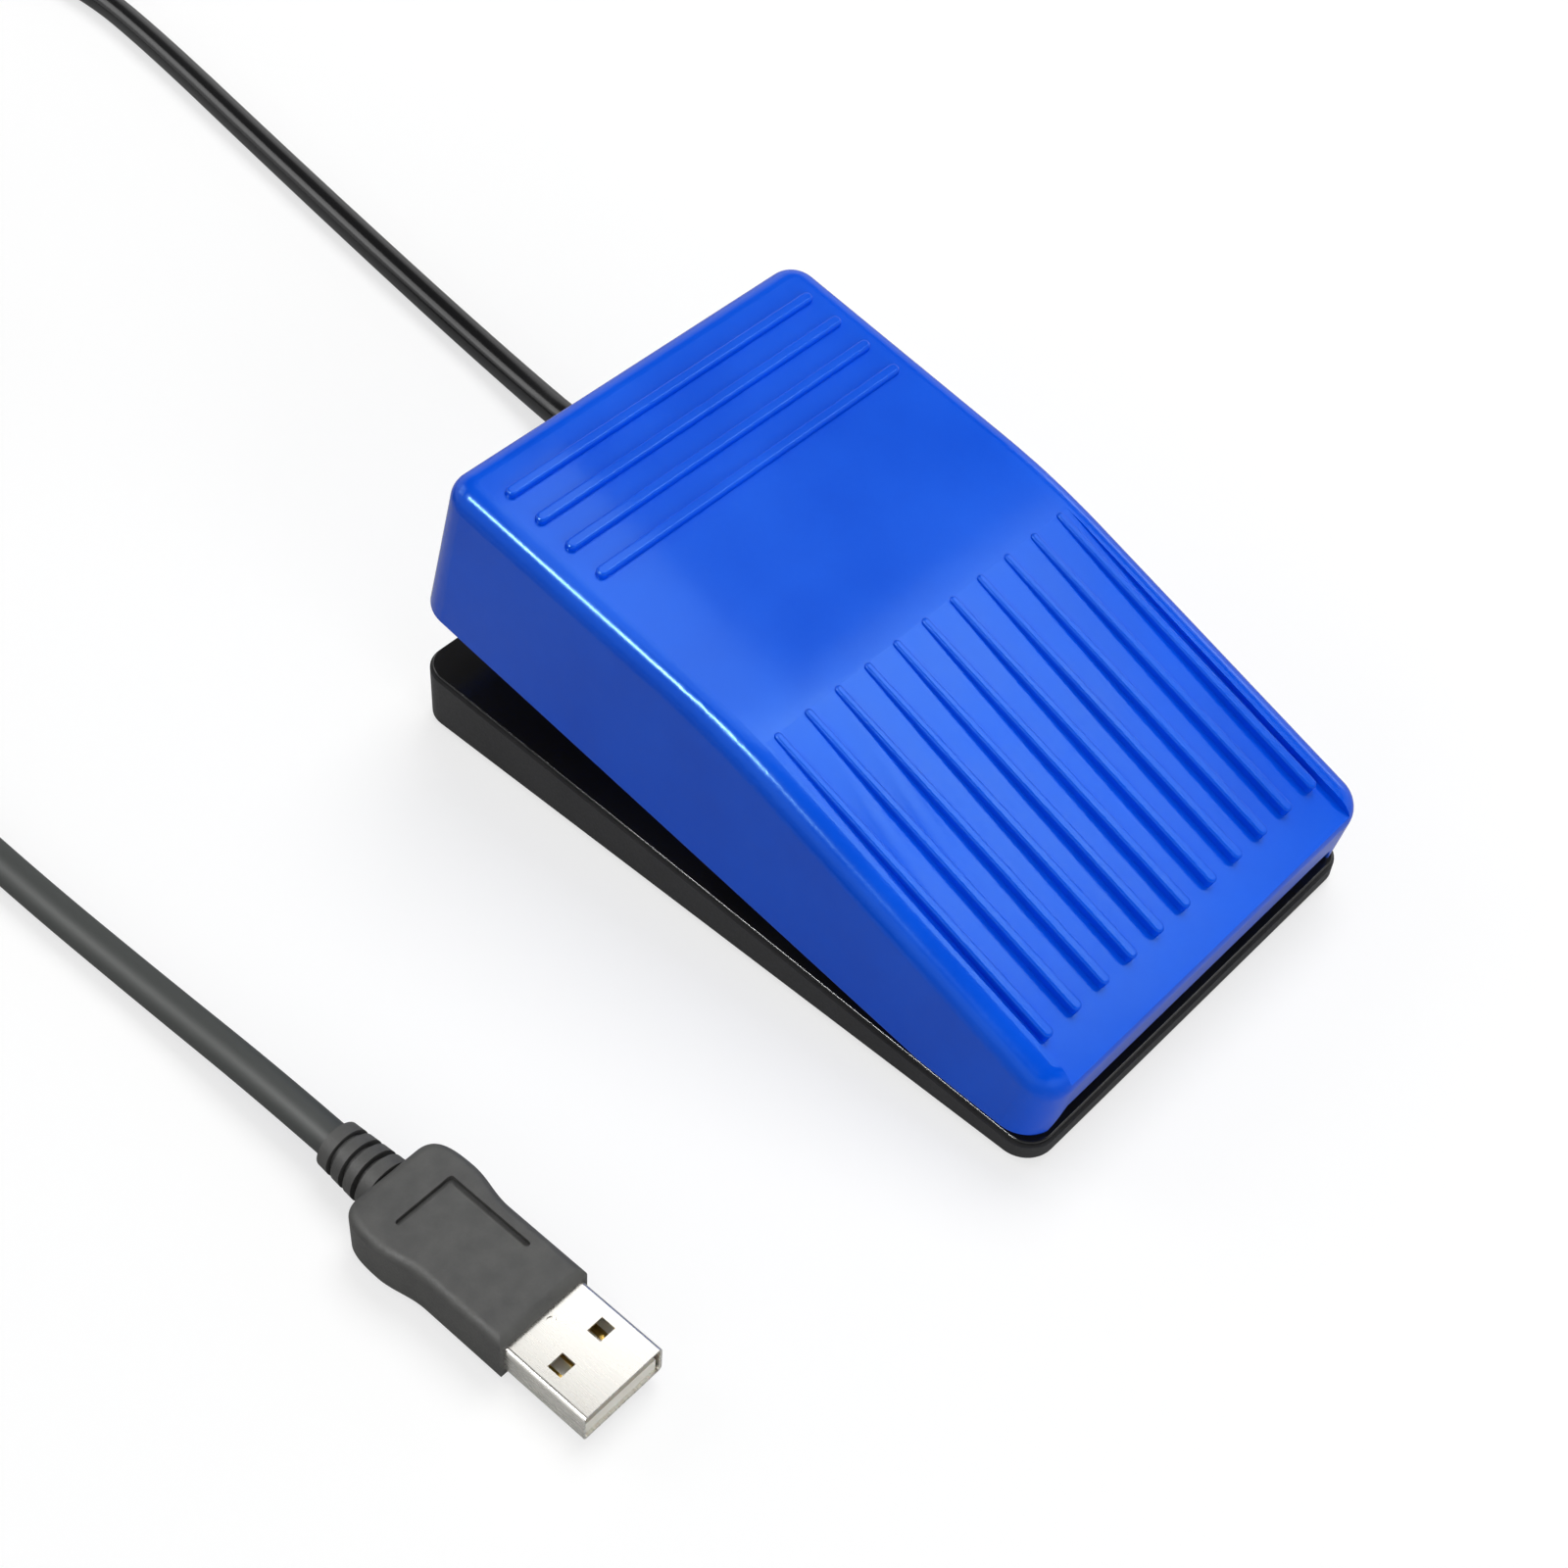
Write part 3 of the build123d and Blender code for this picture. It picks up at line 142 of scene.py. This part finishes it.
def smoothLine(name, places, c):
    # one open NURBS spline of second degree along the route's corners, from end to end;
    # its points carry the half width of the round section
    data = bpy.data.curves.new(name, "CURVE")
    data.dimensions = "3D"
    spline = data.splines.new("NURBS")
    spline.points.add(len(places) - 1)
    spline.points.foreach_set("co", [v for place in places for v in (*place, 1.0)])
    spline.points.foreach_set("radius", [c["diameter"] / 2] * len(places))
    spline.order_u = 3
    spline.use_endpoint_u = True
    spline.resolution_u = c["stepsPerPlace"]
    data.bevel_depth = 1.0
    data.bevel_resolution = c["ringRoundness"]
    data.use_fill_caps = True
    made = bpy.data.objects.new(name, data)
    scene.collection.objects.link(made)
    return made


leadCord = smoothLine("lead_cord", lead["fromBase"] + coilPlaces(lead) + lead["toPlug"], lead)
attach(leadCord, "base")
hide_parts("cord_base_run", "cord_coil", "cord_plug_run")
print("lead laid")


# Materials. Patterns are given in millimetres and a noise texture's scale counts its cells in a metre.
mmPerMetre = 1000
noiseBand = (0.3, 0.7)       # where nearly all values of one noise texture lie
noiseSumBand = (0.7, 1.3)    # and of two, added
noiseDetail = {"cloud": 4.0, "grain": 2.0, "wave": 1.0, "line": 3.0}


def linearFromHex(colour):
    # sRGB hex to linear light, with full alpha, by the standard's own curve
    parts = [int(colour[i:i + 2], 16) / 255 for i in (1, 3, 5)]
    return tuple(c / 12.92 if c <= 0.04045 else ((c + 0.055) / 1.055) ** 2.4 for c in parts) + (1.0,)


def addNode(tree, kind, settings, links=()):
    # settings are values of inputs or properties by name, "stops" are a colour ramp's places and colours
    node = tree.nodes.new(kind)
    for key, value in settings.items():
        if key == "stops":
            while len(node.color_ramp.elements) < len(value):
                node.color_ramp.elements.new(0.5)
            for element, (place, colour) in zip(node.color_ramp.elements, value):
                element.position = place
                element.color = linearFromHex(colour)
        elif key in node.inputs:
            node.inputs[key].default_value = value
        else:
            setattr(node, key, value)
    for socket, source in links:
        tree.links.new(source, node.inputs[socket])
    return node


def startMaterial(name, settings):
    material = bpy.data.materials.new(name)
    material.use_nodes = True
    shader = material.node_tree.nodes["Principled BSDF"]
    for key, value in settings.items():
        shader.inputs[key].default_value = value
    return material, material.node_tree, shader


def mouldedFinish(name, look):
    # Plastic or rubber out of a mould: a cloudy change of tone, uneven gloss, and the mould's own grain
    material, tree, shader = startMaterial(name, look["shader"])
    place = addNode(tree, "ShaderNodeTexCoord", {}).outputs["Object"]
    cloud = addNode(
        tree, "ShaderNodeTexNoise",
        {"Scale": mmPerMetre / look["cloudMm"], "Detail": noiseDetail["cloud"]}, [("Vector", place)],
    )
    tone = addNode(
        tree, "ShaderNodeValToRGB", {"stops": list(zip(noiseBand, (look["dark"], look["light"])))},
        [("Fac", cloud.outputs["Fac"])],
    )
    tree.links.new(tone.outputs["Color"], shader.inputs["Base Color"])
    grain = addNode(
        tree, "ShaderNodeTexNoise",
        {"Scale": mmPerMetre / look["grainMm"], "Detail": noiseDetail["grain"]}, [("Vector", place)],
    )
    mixed = addNode(
        tree, "ShaderNodeMath", {"operation": "ADD"}, [(0, cloud.outputs["Fac"]), (1, grain.outputs["Fac"])]
    )
    low, high = look["roughness"]
    gloss = addNode(
        tree, "ShaderNodeMapRange",
        {"From Min": noiseSumBand[0], "From Max": noiseSumBand[1], "To Min": low, "To Max": high},
        [("Value", mixed.outputs["Value"])],
    )
    tree.links.new(gloss.outputs["Result"], shader.inputs["Roughness"])
    wave = addNode(
        tree, "ShaderNodeTexNoise",
        {"Scale": mmPerMetre / look["waveMm"], "Detail": noiseDetail["wave"]}, [("Vector", place)],
    )
    sink = addNode(
        tree, "ShaderNodeBump", {"Strength": 1.0, "Distance": look["waveDepthMm"] / mmPerMetre},
        [("Height", wave.outputs["Fac"])],
    )
    bump = addNode(
        tree, "ShaderNodeBump", {"Strength": 1.0, "Distance": look["grainDepthMm"] / mmPerMetre},
        [("Height", grain.outputs["Fac"]), ("Normal", sink.outputs["Normal"])],
    )
    tree.links.new(bump.outputs["Normal"], shader.inputs["Normal"])
    return material


def drawnMetal(name, look):
    # Metal wire, strip or sheet: fine lines along one axis from drawing or rolling, in tone, gloss and height
    material, tree, shader = startMaterial(name, look["shader"])
    place = addNode(tree, "ShaderNodeTexCoord", {}).outputs["Object"]
    along = addNode(tree, "ShaderNodeMapping", {"Scale": look["stretch"]}, [("Vector", place)])
    lines = addNode(
        tree, "ShaderNodeTexNoise",
        {"Scale": mmPerMetre / look["lineMm"], "Detail": noiseDetail["line"]},
        [("Vector", along.outputs["Vector"])],
    )
    tone = addNode(
        tree, "ShaderNodeValToRGB", {"stops": list(zip(noiseBand, (look["dark"], look["light"])))},
        [("Fac", lines.outputs["Fac"])],
    )
    tree.links.new(tone.outputs["Color"], shader.inputs["Base Color"])
    low, high = look["roughness"]
    gloss = addNode(
        tree, "ShaderNodeMapRange",
        {"From Min": noiseBand[0], "From Max": noiseBand[1], "To Min": low, "To Max": high},
        [("Value", lines.outputs["Fac"])],
    )
    tree.links.new(gloss.outputs["Result"], shader.inputs["Roughness"])
    bump = addNode(
        tree, "ShaderNodeBump", {"Strength": 1.0, "Distance": look["lineDepthMm"] / mmPerMetre},
        [("Height", lines.outputs["Fac"])],
    )
    tree.links.new(bump.outputs["Normal"], shader.inputs["Normal"])
    return material


# ABS injection moulded in a polished mould: deep clean blue, soft gloss, highlights broken by a fine grain
blueCoverAbs = mouldedFinish("blueCoverAbs", {
    "dark": "#004EDC", "light": "#0055E6", "cloudMm": 14.0,
    "roughness": (0.16, 0.24), "grainMm": 0.5, "grainDepthMm": 0.005, "waveMm": 6.0, "waveDepthMm": 0.01,
    "shader": {"IOR": 1.53, "Specular IOR Level": 0.45, "Specular Tint": (0.36, 0.75, 1.0, 1.0)},
})
# ABS from a spark-eroded mould: dark grey, dull, with a sandy grain of about a third of a millimetre
sandedBaseAbs = mouldedFinish("sandedBaseAbs", {
    "dark": "#2E2E2F", "light": "#373738", "cloudMm": 9.0,
    "roughness": (0.45, 0.62), "grainMm": 0.35, "grainDepthMm": 0.02, "waveMm": 12.0, "waveDepthMm": 0.01,
    "shader": {"IOR": 1.53, "Specular IOR Level": 0.3},
})
# ABS from a polished mould: near black, mirrors what stands on it
glossPlateAbs = mouldedFinish("glossPlateAbs", {
    "dark": "#171718", "light": "#1D1D1E", "cloudMm": 16.0,
    "roughness": (0.12, 0.2), "grainMm": 0.6, "grainDepthMm": 0.002, "waveMm": 9.0, "waveDepthMm": 0.008,
    "shader": {"IOR": 1.53, "Specular IOR Level": 0.5},
})
# Glass-filled nylon of switch and chips: charcoal with pale fibre flecks and a dry sheen
switchNylon = mouldedFinish("switchNylon", {
    "dark": "#16171A", "light": "#222327", "cloudMm": 1.2,
    "roughness": (0.42, 0.6), "grainMm": 0.18, "grainDepthMm": 0.01, "waveMm": 5.0, "waveDepthMm": 0.006,
    "shader": {"IOR": 1.57},
})
# Natural nylon of header, plunger and tongue: warm white, waxy
whiteNylon = mouldedFinish("whiteNylon", {
    "dark": "#E4E0D4", "light": "#F0EDE4", "cloudMm": 4.0,
    "roughness": (0.34, 0.48), "grainMm": 0.25, "grainDepthMm": 0.004, "waveMm": 4.0, "waveDepthMm": 0.006,
    "shader": {"IOR": 1.53, "Subsurface Weight": 0.1, "Subsurface Scale": 0.001},
})
# Soft rubber of the feet: black-grey, no gloss, fine moulded tooth
footRubber = mouldedFinish("footRubber", {
    "dark": "#17171A", "light": "#222225", "cloudMm": 3.0,
    "roughness": (0.75, 0.9), "grainMm": 0.3, "grainDepthMm": 0.02, "waveMm": 5.0, "waveDepthMm": 0.01,
    "shader": {"IOR": 1.52, "Specular IOR Level": 0.3},
})
# Soft PVC moulded over the plug: warm dark grey, leathery fine tooth, next to no gloss
plugPvc = mouldedFinish("plugPvc", {
    "dark": "#464645", "light": "#525250", "cloudMm": 2.5,
    "roughness": (0.5, 0.66), "grainMm": 0.32, "grainDepthMm": 0.03, "waveMm": 4.0, "waveDepthMm": 0.02,
    "shader": {"IOR": 1.53, "Specular IOR Level": 0.35},
})
# Nickel-plated steel sheet of the plug's shell: bright, faint rolling lines along the plug
nickelShell = drawnMetal("nickelShell", {
    "dark": "#E9E6DF", "light": "#F4F2EC", "stretch": (1.0, 0.05, 1.0), "lineMm": 0.3,
    "roughness": (0.24, 0.32), "lineDepthMm": 0.0003, "shader": {"Metallic": 1.0},
})
# Spring and pin steel: drawn wire, darker, crisp gloss
drawnSteel = drawnMetal("drawnSteel", {
    "dark": "#8E9094", "light": "#B4B6BA", "stretch": (0.08, 1.0, 1.0), "lineMm": 0.2,
    "roughness": (0.18, 0.3), "lineDepthMm": 0.001, "shader": {"Metallic": 1.0},
})
# Gilt brass of the contacts: warm yellow, smooth
giltBrass = drawnMetal("giltBrass", {
    "dark": "#C9A24A", "light": "#E6C471", "stretch": (1.0, 0.1, 1.0), "lineMm": 0.15,
    "roughness": (0.16, 0.26), "lineDepthMm": 0.0005, "shader": {"Metallic": 1.0},
})


def leadJacket(name, look):
    # Extruded PVC, black and glossy by the base and rougher towards the plug; its grey there is painted
    # light, a paler look of the same black jacket
    material, tree, shader = startMaterial(name, look["shader"])
    place = addNode(tree, "ShaderNodeTexCoord", {}).outputs["Object"]
    across = addNode(tree, "ShaderNodeSeparateXYZ", {}, [("Vector", place)])
    dullAndPaintedLitShare = addNode(
        tree, "ShaderNodeMapRange", {"From Min": look["glossyX"], "From Max": look["paintedLitGreyX"]},
        [("Value", across.outputs["X"])],
    )
    # painted light: the tone goes from the jacket's black to a lighter grey towards the plug
    tone = addNode(
        tree, "ShaderNodeValToRGB", {"stops": [(0.0, look["glossy"]), (1.0, look["paintedLitGrey"])]},
        [("Fac", dullAndPaintedLitShare.outputs["Result"])],
    )
    tree.links.new(tone.outputs["Color"], shader.inputs["Base Color"])
    low, high = look["roughness"]
    gloss = addNode(
        tree, "ShaderNodeMapRange", {"To Min": low, "To Max": high},
        [("Value", dullAndPaintedLitShare.outputs["Result"])],
    )
    tree.links.new(gloss.outputs["Result"], shader.inputs["Roughness"])
    grain = addNode(
        tree, "ShaderNodeTexNoise",
        {"Scale": mmPerMetre / look["grainMm"], "Detail": noiseDetail["grain"]}, [("Vector", place)],
    )
    bump = addNode(
        tree, "ShaderNodeBump", {"Strength": 1.0, "Distance": look["grainDepthMm"] / mmPerMetre},
        [("Height", grain.outputs["Fac"])],
    )
    tree.links.new(bump.outputs["Normal"], shader.inputs["Normal"])
    return material


# one black jacket; the grey at the plug end is painted light
blackLeadPvc = leadJacket("blackLeadPvc", {
    "glossy": "#121213", "paintedLitGrey": "#383B39", "glossyX": -0.02, "paintedLitGreyX": -0.075,
    "roughness": (0.2, 0.55), "grainMm": 0.5, "grainDepthMm": 0.006,
    "shader": {"IOR": 1.53, "Specular IOR Level": 0.5},
})


def boardLacquer(name, look):
    # Glass-epoxy board under green lacquer: copper tracks show as paler lines a third of a millimetre wide
    material, tree, shader = startMaterial(name, look["shader"])
    place = addNode(tree, "ShaderNodeTexCoord", {}).outputs["Object"]
    tracks = addNode(
        tree, "ShaderNodeTexVoronoi",
        {
            "feature": "DISTANCE_TO_EDGE", "Scale": mmPerMetre / look["trackPitchMm"],
            "Randomness": look["unevenness"],
        },
        [("Vector", place)],
    )
    tone = addNode(
        tree, "ShaderNodeValToRGB", {"stops": list(zip(look["trackEdge"], (look["track"], look["lacquer"])))},
        [("Fac", tracks.outputs["Distance"])],
    )
    tree.links.new(tone.outputs["Color"], shader.inputs["Base Color"])
    bump = addNode(
        tree, "ShaderNodeBump",
        {"Strength": look["trackStrength"], "Distance": look["trackDepthMm"] / mmPerMetre, "invert": True},
        [("Height", tracks.outputs["Distance"])],
    )
    tree.links.new(bump.outputs["Normal"], shader.inputs["Normal"])
    return material


greenBoard = boardLacquer("greenBoard", {
    "lacquer": "#0E4A2C", "track": "#2C7A4C", "trackPitchMm": 3.0, "unevenness": 0.6,
    "trackEdge": (0.06, 0.1), "trackDepthMm": 0.03, "trackStrength": 0.5,
    "shader": {"IOR": 1.55, "Roughness": 0.28},
})

# Which finish each CAD node wears
finishOfNode = {
    "pedal_cover": blueCoverAbs,
    "base_tray": sandedBaseAbs,
    "top_plate": glossPlateAbs,
    "hinge_pin": drawnSteel,
    "rubber_feet": footRubber,
    "case_screws": drawnSteel,
    "switch_body": switchNylon,
    "switch_lever": drawnSteel,
    "switch_plunger": whiteNylon,
    "switch_terminals": drawnSteel,
    "spring_left": drawnSteel,
    "spring_right": drawnSteel,
    "circuit_board": greenBoard,
    "usb_controller": switchNylon,
    "board_components": switchNylon,
    "cable_header": whiteNylon,
    "board_screws": drawnSteel,
    "cable_clamp": glossPlateAbs,
    "clamp_screw": drawnSteel,
    "cable_grommet": footRubber,
    "switch_wires": footRubber,
    "cable_wires": whiteNylon,
    "plug_strain_relief": plugPvc,
    "plug_overmould": plugPvc,
    "plug_shell": nickelShell,
    "plug_tongue": whiteNylon,
    "plug_contacts": giltBrass,
}
for name, finish in finishOfNode.items():
    for slot in nodes[name].material_slots:
        slot.link = "OBJECT"
        slot.material = finish
leadCord.data.materials.append(blackLeadPvc)
print("finishes given to", len(finishOfNode), "nodes and the lead")

# Return springs: each stands on the base and is pressed short by the cover
springs = {
    "standsFor": {"return_spring_left": "spring_left", "return_spring_right": "spring_right"},
    "slot": "steel",
    "mergeMm": 0.001,
}


def makeSpring(name, standsFor, c):
    # a copy of the CAD spring with its doubles merged, in drawn steel, in place of the hidden CAD spring
    data = nodes[standsFor].data.copy()
    shell = bmesh.new()
    shell.from_mesh(data)
    bmesh.ops.remove_doubles(shell, verts=shell.verts, dist=c["mergeMm"] / mmPerMetre)
    shell.to_mesh(data)
    shell.free()
    made = bpy.data.objects.new(name, data)
    scene.collection.objects.link(made)
    data.materials.clear()
    data.materials.append(drawnSteel)
    places = np.empty(len(data.vertices) * 3)
    data.vertices.foreach_get("co", places)
    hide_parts(standsFor)
    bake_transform(made)


for name, standsFor in springs["standsFor"].items():
    makeSpring(name, standsFor, springs)
print("springs wound:", len(springs["standsFor"]))

# Table and backdrop: a white table, and a low white wall all round that closes the view from any side
studio = {
    "tableHalf": 4.0,
    "wallRadius": 3.0,
    "wallHeight": 1.8,
    "wallSides": 96,
    "roomTone": 0.08,
}
# tone is what the paper gives back, lift and farLift what is added where it is looked at, near and far,
# mirrored what a glossy ray sees at least, and fill what it gives the room
papers = {
    "tablePaper": {
        "tone": 0.34, "lift": 0.68, "farLift": 0.98, "farFrom": 0.45, "farTo": 1.6,
        "mirrored": 0.12, "fill": 0.0,
    },
    "wallPaper": {
        "tone": 0.0, "lift": 1.0, "farLift": 1.0, "farFrom": 0.45, "farTo": 1.6,
        "mirrored": 0.8, "fill": 0.4,
    },
}


def surfaceGrid(name, place, columns, rows):
    # a surface as a function of two shares from 0 to 1, on a grid
    u, v = np.meshgrid(np.linspace(0, 1, columns), np.linspace(0, 1, rows), indexing="ij")
    points = np.stack(place(u, v), -1).reshape(-1, 3)
    corner = (np.arange(columns - 1)[:, None] * rows + np.arange(rows - 1)[None, :]).ravel()
    faces = np.stack([corner, corner + rows, corner + rows + 1, corner + 1], 1)
    data = bpy.data.meshes.new(name)
    data.from_pydata(points.tolist(), [], faces.tolist())
    made = bpy.data.objects.new(name, data)
    scene.collection.objects.link(made)
    return made


def paperFinish(name, look):
    # Matt paper: dull grey for the light it gives back, lifted to white where it is looked at, and less where
    # it is mirrored. The lamps leave the table darker far off, so its lift grows with the distance.
    material, tree, shader = startMaterial(name, {
        "Base Color": (look["tone"], look["tone"], look["tone"], 1.0),
        "Roughness": 1.0, "Specular IOR Level": 0.0, "Emission Color": (1.0, 1.0, 1.0, 1.0),
    })
    place = addNode(tree, "ShaderNodeTexCoord", {}).outputs["Object"]
    away = addNode(tree, "ShaderNodeVectorMath", {"operation": "LENGTH"}, [(0, place)])
    lifted = addNode(
        tree, "ShaderNodeMapRange",
        {
            "From Min": look["farFrom"], "From Max": look["farTo"],
            "To Min": look["lift"], "To Max": look["farLift"],
        },
        [("Value", away.outputs["Value"])],
    )
    rays = addNode(tree, "ShaderNodeLightPath", {})
    seen = addNode(
        tree, "ShaderNodeMath", {"operation": "MAXIMUM"},
        [(0, rays.outputs["Is Camera Ray"]), (1, rays.outputs["Is Transmission Ray"])],
    )
    strength = addNode(
        tree, "ShaderNodeMapRange", {"To Min": look["fill"]},
        [("Value", seen.outputs["Value"]), ("To Max", lifted.outputs["Result"])],
    )
    mirror = addNode(
        tree, "ShaderNodeMapRange", {"To Max": look["mirrored"]},
        [("Value", rays.outputs["Is Glossy Ray"])],
    )
    strongest = addNode(
        tree, "ShaderNodeMath", {"operation": "MAXIMUM"},
        [(0, strength.outputs["Result"]), (1, mirror.outputs["Result"])],
    )
    tree.links.new(strongest.outputs["Value"], shader.inputs["Emission Strength"])
    return material


half = studio["tableHalf"]
table = surfaceGrid("table", lambda u, v: (half * (2 * u - 1), half * (2 * v - 1), 0 * u), 2, 2)
table.data.materials.append(paperFinish("tablePaper", papers["tablePaper"]))
# the wall is a circle about the object, carried straight up
wall = surfaceGrid(
    "wall",
    lambda u, v: (
        studio["wallRadius"] * np.cos(2 * math.pi * u),
        studio["wallRadius"] * np.sin(2 * math.pi * u),
        studio["wallHeight"] * v,
    ),
    studio["wallSides"] + 1, 2,
)
wall.data.materials.append(paperFinish("wallPaper", papers["wallPaper"]))
print("table and wall set")

# Lamps: share is the part of full light that each gives a surface facing it at the object.
# A matt lamp only lights, a gloss lamp is only mirrored, and one of kind both does both.
# They hang about lampAim, or about a place of their own.
lampAim = (0.0, 0.0, 0.02)
lamps = {
    "mainLamp": {
        "from": (0.42, 0.12, 0.90), "far": 1.4, "size": (0.8, 0.8), "share": 0.58, "kind": "matt",
    },
    "skyPanel": {
        "from": (0.0, 0.05, 1.0), "far": 1.5, "size": (2.0, 2.0), "share": 0.2, "kind": "matt",
    },
    "frontFill": {
        "from": (-0.22, -0.92, 0.32), "far": 1.4, "size": (0.9, 0.7), "share": 0.42, "kind": "matt",
    },
    "leftFill": {
        "from": (-0.94, -0.1, 0.34), "far": 1.4, "size": (0.9, 0.7), "share": 0.10, "kind": "matt",
    },
    "backLamp": {
        "from": (-0.33, 0.77, 0.50), "far": 1.2, "size": (0.5, 0.5), "share": 0.12, "kind": "both",
    },
    "frontStrip": {
        "from": (0.50, -0.75, 0.43), "far": 1.2, "size": (0.8, 0.06), "share": 0.012, "kind": "gloss",
    },
    "heelLamp": {
        "from": (0.545, -0.235, 0.80), "far": 1.1, "size": (0.26, 0.36), "share": 0.12, "kind": "gloss",
    },
    "edgeStrip": {
        "from": (-0.64, 0.12, 0.76), "far": 1.2, "size": (0.11, 0.6), "share": 1.3, "kind": "gloss",
    },
    "ribLamp": {
        "from": (0.93, -0.06, 0.36), "far": 1.2, "size": (0.26, 0.5), "share": 0.07, "kind": "gloss",
    },
    "plugCard": {
        "from": (0.519, 0.411, 0.7495), "far": 0.12, "size": (0.07, 0.07), "share": 0.18, "kind": "gloss",
        "at": (-0.087, -0.033, 0.006),
    },
}


def makeLamp(name, c):
    # an area lamp of this power gives an irradiance of pi times its share at its distance
    data = bpy.data.lights.new(name, "AREA")
    data.shape = "RECTANGLE"
    data.size, data.size_y = c["size"]
    data.energy = math.pi ** 2 * c["far"] ** 2 * c["share"]
    lamp = bpy.data.objects.new(name, data)
    scene.collection.objects.link(lamp)
    back = Vector(c["from"]).normalized()
    side = Vector((0, 1, 0)).cross(back).normalized()
    turn = Matrix((side, back.cross(side), back)).transposed().to_4x4()
    lamp.matrix_world = Matrix.Translation(Vector(c.get("at", lampAim)) + back * c["far"]) @ turn
    lamp.visible_camera = False
    lamp.visible_glossy = c["kind"] != "matt"
    lamp.visible_diffuse = c["kind"] != "gloss"


for name, c in lamps.items():
    makeLamp(name, c)
world = bpy.data.worlds.new("dimRoom")
scene.world = world
world.use_nodes = True
roomTone = studio["roomTone"]
world.node_tree.nodes["Background"].inputs["Color"].default_value = (roomTone, roomTone, roomTone, 1.0)
print("lamps hung:", len(lamps))
